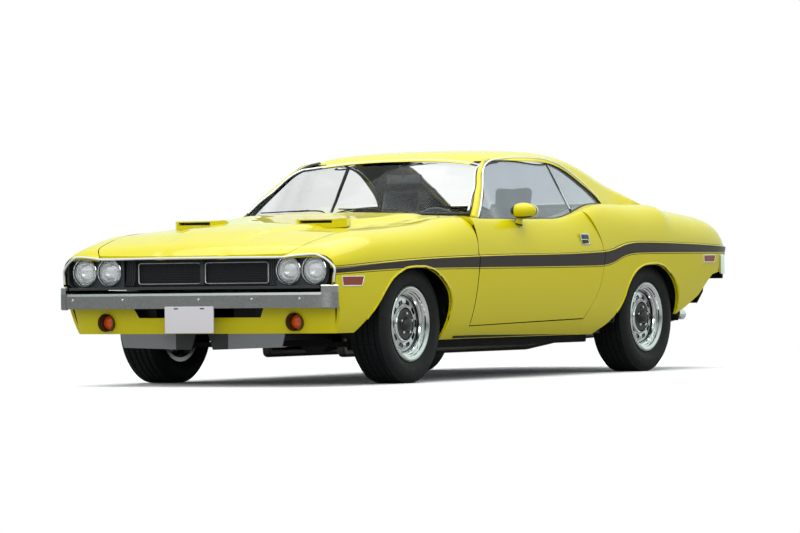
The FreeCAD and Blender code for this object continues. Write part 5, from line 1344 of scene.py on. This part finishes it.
# %% Mirror glass and gasket
MIRROR_OVAL = (1, 1.45, 0.95)
MIRROR_MIDDLE = Vector((0.940, -0.355, 0.958))
glass_disc = turned(((0.0, 0.0400), (0.0035, 0.0400), (0.0050, 0.0385), (0.0050, 0.0)), 40, wall=0.001)
place_piece(glass_disc, MIRROR_MIDDLE + Vector((0, 0.0610, 0)), FACE_REAR, MIRROR_OVAL)
settle(glass_disc, "mirror_glass", "mirror_glass", "door_left")
rim = turned(((-0.010, 0.0455), (0.004, 0.0440), (0.006, 0.0415), (0.003, 0.0395)), 40, wall=0.001)
place_piece(rim, MIRROR_MIDDLE + Vector((0, 0.0600, 0)), FACE_REAR, MIRROR_OVAL)
settle(rim, "mirror_rim", "sheen_painted_chrome", "door_left")
foot_place = touch("door_left", *from_above(0.900, -0.350))
gasket = turned(((-0.006, 0.030), (0.001, 0.0295), (0.003, 0.026), (0.003, 0.014)), 32, wall=0.001)
place_piece(gasket, foot_place, (0, -math.pi / 2 + 0.35, 0))
settle(gasket, "mirror_gasket", "black_satin", "door_left")
print("mirror foot at", [round(v, 3) for v in foot_place])

# %% [markdown]
# ## Marker lamps
# Each side has a red lamp near the nose and another near the tail. Rays from the side find the panel under
# the four corners of a lamp. The lens is a plane whose corners move onto those points, and a thin bright
# bar frames it.

# %% Marker lamps and their frames
MARKERS = (("fender_", ((-2.301, 0.596), (-2.105, 0.596), (-2.120, 0.546), (-2.288, 0.546))),
           ("quarter_", ((1.958, 0.697), (2.155, 0.697), (2.140, 0.655), (1.968, 0.655))))
LENS_THICK = 0.005
frames = []
lenses = []
for sign, side in SIDES:
    for panel_name, outline in MARKERS:
        points = []
        for y, z in outline:
            place = touch(panel_name + side, *from_side(sign, y, z))
            points.append(place + Vector((sign * 0.0015, 0, 0)))
        frames.append(bar(points, 0.0042, closed=True, smooth=False))
        bpy.ops.object.select_all(action="DESELECT")
        bpy.ops.mesh.primitive_plane_add(size=1.0)
        lens = bpy.context.object
        for vertex, index in zip(lens.data.vertices, (3, 2, 0, 1)):
            vertex.co = points[index]
        whole_mesh()
        bpy.ops.mesh.normals_make_consistent(inside=False)
        object_mode()
        modify(lens, "SOLIDIFY", thickness=LENS_THICK, offset=0.0)
        lenses.append(lens)
settle(joined(frames), "marker_frames", "sheen_painted_chrome")
marker_lenses = settle(joined(lenses), "marker_lenses", "red_lens")
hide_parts("side_markers")
print(len(frames), "marker frames")

# %% [markdown]
# ## Rolled edges of the wheel arches
# Each arch has a rolled edge in body colour. Its path is found by looking at the panel from the side: along
# each spoke from the wheel's centre, the first place where a ray meets the panel is the arch's edge.

# %% Arch edges
ARCH_ROLL = 0.0085
ARCH_SINK = 0.0015
ARCH_OUT = 0.004
ARCH_SPOKES = range(-6, 205, 7)
ARCH_REACH = [0.300 + 0.004 * step for step in range(60)]
lips = []
for sign, side in SIDES:
    for corner, panel_name in (("front_", "fender_"), ("rear_", "quarter_")):
        centre = wheel_centre(corner + side)
        points = []
        for degrees in ARCH_SPOKES:
            turn = math.radians(degrees)
            for reach in ARCH_REACH:
                y = centre.y + reach * math.cos(turn)
                z = centre.z + reach * math.sin(turn)
                place = ray(panel_name + side, *from_side(sign, y, z))
                if place is not None and abs(place.x) > 0.80:
                    outwards = Vector((0, math.cos(turn), math.sin(turn)))
                    points.append(place + Vector((-sign * ARCH_SINK, 0, 0)) + ARCH_OUT * outwards)
                    break
        lips.append(bar(points, ARCH_ROLL))
settle(joined(lips), "arch_edges", "low_paint", angle=60)
print("arch edges of", len(points), "points")

# %% [markdown]
# ## Bonnet scoops
# Each scoop has a dark wire mesh in its slot: a grid of a few cells turned into wire, with a dark plate
# behind it that is painted shade for the slot's inside.

# %% Scoop meshes
SCOOP_X = 0.400
SCOOP_WIRE = 0.0026
meshes = []
for sign in (1, -1):
    middle_x = sign * SCOOP_X
    front_z = touch("bonnet", *from_above(middle_x, -1.775)).z
    meshes.append(wire_mesh((middle_x, -1.730, front_z + 0.014), 0.206, 0.024, 22, 3, SCOOP_WIRE))
    # The dark plate behind the mesh is painted shade.
    meshes.append(block((middle_x - 0.104, -1.724, front_z + 0.001),
                        (middle_x + 0.104, -1.7205, front_z + 0.025)))
settle(joined(meshes), "scoop_meshes", "black_satin", "bonnet")
print("scoop meshes at height", round(front_z, 3))

# %% [markdown]
# ## Wipers
# Two wipers rest at the foot of the windscreen. Rays from above find the cowl under the pivots and the
# glass under the blades, and two bent bars join these points.

# %% Wipers
wipers = []
for pivot_x, tip_x in ((0.430, -0.090), (-0.120, -0.620)):
    pivot = touch("cowl", *from_above(pivot_x, -0.800))
    rest = touch("windscreen", *from_above(tip_x * 0.6 + pivot_x * 0.4, -0.700))
    tip = touch("windscreen", *from_above(tip_x, -0.690))
    lift = Vector((0, -0.006, 0.012))
    wipers.append(bar((pivot + Vector((0, 0, -0.005)), pivot + Vector((0, 0, 0.014)), rest + lift), 0.0045))
    wipers.append(bar((rest + lift + (rest - tip) * 0.7, rest + lift, tip + lift), 0.0040))
settle(joined(wipers), "wipers", "black_satin")
print("wipers", len(wipers) // 2)

# %% [markdown]
# ## Floor rails
# A dark box rail runs along each side of the floor, between the rocker panels and the exhaust. It closes
# the view under the car, as on the real one.

# %% Floor rails
RAIL_X = 0.640
rails = []
for sign in (1, -1):
    rails.append(block((sign * RAIL_X - 0.025, -0.980, 0.185), (sign * RAIL_X + 0.025, 0.900, 0.262), 0.008))
settle(joined(rails), "floor_rails", "underseal")
print(len(rails), "floor rails")

# %% [markdown]
# ## Tail lamps
# At the back the lamps sit in a dark recessed panel. A bright bent bar frames each lamp, and five bright
# ribs divide it.

# %% Tail lamps
TAIL_LAMP_X = (0.186, 0.694)
TAIL_LAMP_Z = (0.7080, 0.7880)
TAIL_RIBS = 5
panel = block((-0.800, 2.3830, 0.700), (0.800, 2.3850, 0.797), 0.0008)
settle(panel, "tail_recess", "black_satin")
frames = []
ribs = []
for side in (-1, 1):
    x0, x1 = sorted((side * TAIL_LAMP_X[0], side * TAIL_LAMP_X[1]))
    frames.append(outline_bar(x0, x1, *TAIL_LAMP_Z, 2.3900, 0.010, 0.0040))
    for k in range(1, TAIL_RIBS + 1):
        x = side * (0.190 + 0.500 * k / (TAIL_RIBS + 1))
        ribs.append(block((x - 0.002, 2.3995, 0.7135), (x + 0.002, 2.4035, 0.7825), 0.0006))
settle(joined(frames), "tail_lamp_frames", "chrome")
settle(joined(ribs), "tail_lamp_ribs", "chrome")
print(len(ribs), "lamp ribs")

# %% [markdown]
# ## Pipe tips, filler cap and the rear bumper's details
# The pipes end in bright turned tips, and a bright filler cap stands on the right wing, where a ray finds
# the panel. The rear bumper gets the same bolts as the front one, and its plate the same frame.

# %% Pipe tips, filler cap, bolts and plate frame
PIPE_ENDS = [(side * 0.560, 2.330, 0.330) for side in (-1, 1)]
tip = turned(((-0.09, 0.0295), (0.012, 0.0300), (0.020, 0.0330), (0.024, 0.0330), (0.022, 0.0300),
              (-0.04, 0.0275)), 36, wall=0.0006)
settle(copies_at(tip, PIPE_ENDS, FACE_REAR), "pipe_tips", "chrome")
cap_place = touch("quarter_right", *from_side(-1, 1.420, 0.870))
cap = turned(((-0.004, 0.058), (0.006, 0.057), (0.012, 0.052), (0.013, 0.036), (0.018, 0.030), (0.019, 0.0)),
             40, wall=0.001)
place_piece(cap, cap_place, FACE_RIGHT)
settle(cap, "filler_cap", "chrome")
bumper_bolts("rear_bumper", (-0.60, -0.25, 0.25, 0.60), 3.0, 0.660, FACE_REAR, "rear_bumper_bolts")
rear_frame = outline_bar(-0.155, 0.155, 0.5635, 0.6965, 2.4454, 0.010, 0.0035)
settle(rear_frame, "rear_plate_frame", "plate_frame")
print("filler cap at", [round(v, 3) for v in cap_place])

# %% [markdown]
# ## Instruments and horn ring
# Round dials in bright rings face the driver, tilted a little upwards. A bright horn ring sits on the
# steering wheel's spokes.

# %% Instruments
DIALS = ((0.545, 0.048), (0.430, 0.048), (0.325, 0.036), (0.240, 0.036))
DIAL_TURN = (0, -0.32, math.pi / 2)
dials = []
glasses = []
for x, radius in DIALS:
    face = touch("dashboard", (x, 0.0, 0.800), (0, -1, 0))
    ring = turned(((-0.002, radius + 0.005), (0.006, radius + 0.004), (0.007, radius),
                   (0.001, radius - 0.003)), 36, wall=0.001)
    place_piece(ring, face, DIAL_TURN)
    dials.append(ring)
    pane = turned(((0.0005, radius), (0.0020, radius * 0.7), (0.0025, 0.0)), 32)
    modify(pane, "SOLIDIFY", thickness=0.0006, offset=-1.0)
    place_piece(pane, face, DIAL_TURN)
    glasses.append(pane)
settle(joined(dials), "dial_rings", "chrome")
settle(joined(glasses), "dial_faces", "black_satin")
WHEEL_MIDDLE = Vector((0.385, -0.330, 0.800))
horn = turned(((-0.002, 0.118), (0.004, 0.116), (0.004, 0.110), (-0.002, 0.108)), 56, wall=0.002)
WHEEL_TILT = math.radians(68)
place_piece(horn, WHEEL_MIDDLE, (0, -(math.pi / 2 - WHEEL_TILT), math.pi / 2))
settle(horn, "horn_ring", "chrome")
print(len(dials), "dials")

# %% [markdown]
# ## Seats
# The seats are padded, so they are made by a short cloth simulation: each pad starts as a rounded block a
# little smaller than its cover, is remeshed evenly, and is then blown up by air pressure. How far a point
# may move is capped. The sewn channels are pressed in afterwards, because the remesh would rub them out.

# %% Padded seats
PAD_STEPS = 20
PAD_PRESSURE = 4.0
PAD_CAP = 0.020
PAD_SHRINK = 0.012
CHANNEL_DEPTH = 0.007
CHANNEL_WIDTH = 0.009


def inflate(piece):
    """Blow a closed pad up with air pressure, and cap how far each point moves."""
    pick(piece)
    start = [vertex.co.copy() for vertex in piece.data.vertices]
    cloth = piece.modifiers.new("cloth", "CLOTH")
    cloth.settings.use_pressure = True
    cloth.settings.uniform_pressure_force = PAD_PRESSURE
    cloth.settings.effector_weights.gravity = 0.0
    cloth.settings.quality = 4
    cloth.point_cache.frame_end = PAD_STEPS
    for step in range(1, PAD_STEPS + 1):
        bpy.context.scene.frame_set(step)
    bpy.ops.object.modifier_apply(modifier="cloth")
    for vertex, origin in zip(piece.data.vertices, start):
        move = vertex.co - origin
        if move.length > PAD_CAP:
            vertex.co = origin + move * (PAD_CAP / move.length)
    bpy.context.scene.frame_set(1)


def press_channels(piece, seams, top_side):
    """Press sewn lines into one side of a pad. A seam is a place across the pad."""
    half = max(vertex.co.z for vertex in piece.data.vertices)
    for vertex in piece.data.vertices:
        side = vertex.co.z / half * top_side
        if side < 0.2:
            continue
        for seam in seams:
            near = math.exp(-((vertex.co.x - seam) / CHANNEL_WIDTH) ** 2)
            vertex.co.z -= top_side * CHANNEL_DEPTH * near * min(1.0, side * 1.5)


def pad(name, size, corner, voxel, place, tilt, seams):
    """A padded block, size across, along and thick, made flat and then tilted into its place."""
    half = [extent / 2 - PAD_SHRINK for extent in size]
    piece = block([-h for h in half], half, corner, 3)
    modify(piece, "REMESH", mode="VOXEL", voxel_size=voxel)
    inflate(piece)
    press_channels(piece, seams, 1)
    modify(piece, "SUBSURF", levels=1, render_levels=1)
    place_piece(piece, place, (tilt, 0, 0))
    settle(piece, name, "vinyl", "shell", 80)
    return piece


print("padding helpers ready")

# %% [markdown]
# ## Front seats and rear bench
# Each front seat is a cushion, a leaning back and a head rest. The bench is one wide cushion and one wide
# back, with channels only where people sit.

# %% Front seats and rear bench
SEAT_X = 0.385
BACK_LEAN = math.radians(16)
FRONT_SEAMS = (-0.12, -0.04, 0.04, 0.12)
for sign, side in SIDES:
    cushion = pad("seat_cushion_" + side, (0.46, 0.52, 0.105), 0.030, 0.009,
                  (sign * SEAT_X, 0.070, 0.3665), 0.0, FRONT_SEAMS)
    middle = Vector((sign * SEAT_X, 0.330 + 0.295 * math.sin(BACK_LEAN), 0.400 + 0.295 * math.cos(BACK_LEAN)))
    pad("seat_back_" + side, (0.46, 0.59, 0.120), 0.038, 0.009, middle, math.pi / 2 - BACK_LEAN, FRONT_SEAMS)
    head = Vector((sign * SEAT_X, 0.488 + 0.095 * math.sin(BACK_LEAN), 0.935 + 0.095 * math.cos(BACK_LEAN)))
    pad("head_rest_" + side, (0.27, 0.19, 0.078), 0.024, 0.008, head, math.pi / 2 - BACK_LEAN, ())
    if side == "left":
        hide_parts("front_seats")
REAR_LEAN = math.radians(14)
REAR_SEAMS = (-0.42, -0.30, -0.18, 0.18, 0.30, 0.42)
bench = pad("rear_cushion", (1.18, 0.42, 0.090), 0.030, 0.012, (0, 0.850, 0.455), 0.0, REAR_SEAMS)
middle = Vector((0, 1.000 + 0.250 * math.sin(REAR_LEAN), 0.460 + 0.250 * math.cos(REAR_LEAN)))
pad("rear_back", (1.18, 0.50, 0.120), 0.036, 0.012, middle, math.pi / 2 - REAR_LEAN, REAR_SEAMS)
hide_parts("rear_seat")
print("eight padded pieces,", len(bench.data.polygons), "faces on the bench")

# %% [markdown]
# ## Seat runners
# Each front seat stands on two runners on the floor, and a thin board carries the bench.

# %% Seat runners
RUNNER_HALF = 0.014
runners = []
for sign in (1, -1):
    for offset in (-0.170, 0.170):
        x = sign * SEAT_X + offset
        runners.append(block((x - RUNNER_HALF, -0.140, 0.254), (x + RUNNER_HALF, 0.280, 0.318), 0.006))
runners.append(block((-0.540, 0.700, 0.412), (0.540, 1.020, 0.420), 0.003))
settle(joined(runners), "seat_runners", "black_satin")
print(len(runners), "runners")

# %% [markdown]
# ## Trimmed wheelhouses
# The rear wheelhouses end a few millimetres outside the quarter panels behind the wheels. A copy of the
# structure is merged, and the points that stand outside the panel are pushed back under it.

# %% Trimmed wheelhouses
TUCK = 0.014
HOUSE_X = 0.86
HOUSE_TOP = 0.80
structure = copy_of(nodes["rear_structure"])
structure.parent = None
pick(structure)
whole_mesh()
bpy.ops.mesh.remove_doubles(threshold=0.00001)
object_mode()
tucked = 0
for vertex in structure.data.vertices:
    x, y, z = vertex.co
    sign = 1 if x > 0 else -1
    if abs(x) < HOUSE_X or z > HOUSE_TOP:
        continue
    panel_name = "quarter_left" if x > 0 else "quarter_right"
    place = ray(panel_name, *from_side(sign, y, z))
    limit = (abs(place.x) if place else abs(x)) - TUCK
    if abs(x) > limit:
        vertex.co.x = sign * limit
        tucked += 1
modify(structure, "EDGE_SPLIT", split_angle=SHARP)
structure.name = "tucked_structure"
dress(structure, "deck_paint")
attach(structure, "shell")
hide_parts("rear_structure")
print("tucked", tucked, "points")

# %% [markdown]
# ## Dressing the pressed panels
# The panels come as loose triangles. A Weld modifier joins them for display, the Edge Split keeps corners
# crisp, and smooth shading lets the long curves reflect without facets. The mesh itself stays as it was
# built.

# %% Smooth the panels and give each its finish
node_finish = {
    "front_bumper": "bumper_plate", "rear_bumper": "chrome", "fender_left": "side_paint",
    "fender_right": "side_paint", "quarter_left": "side_paint", "quarter_right": "side_paint",
    "door_left": "side_paint", "door_right": "side_paint",
    "sills": "low_paint", "side_markers": "red_lens", "cowl": "cowl_paint", "roof": "roof_paint",
    "floor_pan": "underseal", "rear_structure": "deck_paint", "front_structure": "black_satin",
    "front_valance": "low_paint", "grille_panel": "black_satin", "grille": "chrome",
    "headlamps": "lamp_glass",
    "parking_lamps": "amber_lens", "chin_spoiler": "spoiler_grey", "tail_panel": "tail_paint",
    "tail_lamps": "red_lens", "plates": "plate_white", "windscreen": "glass", "rear_window": "glass",
    "quarter_windows": "side_glass", "door_glass_left": "side_glass", "door_glass_right": "side_glass",
    "door_handle_left": "chrome", "door_handle_right": "chrome", "door_mirror": "low_paint",
    "bonnet": "lid_paint", "boot_lid": "lid_paint", "front_seats": "vinyl", "rear_seat": "vinyl",
    "steering_wheel": "trim", "dashboard": "trim", "interior_mirror": "trim", "engine": "iron",
    "drivetrain": "iron", "rear_axle": "underseal", "exhaust": "pipe", "fuel_tank": "underseal",
    "front_suspension": "underseal", "knuckle_left": "iron", "knuckle_right": "iron",
}
for corner in corners:
    node_finish["rim_" + corner] = "wheel_silver"
    node_finish["tyre_" + corner] = "rubber"

for name, piece in nodes.items():
    dress(piece, node_finish[name])
    smooth_for_display(piece)
print("dressed", len(nodes), "nodes")
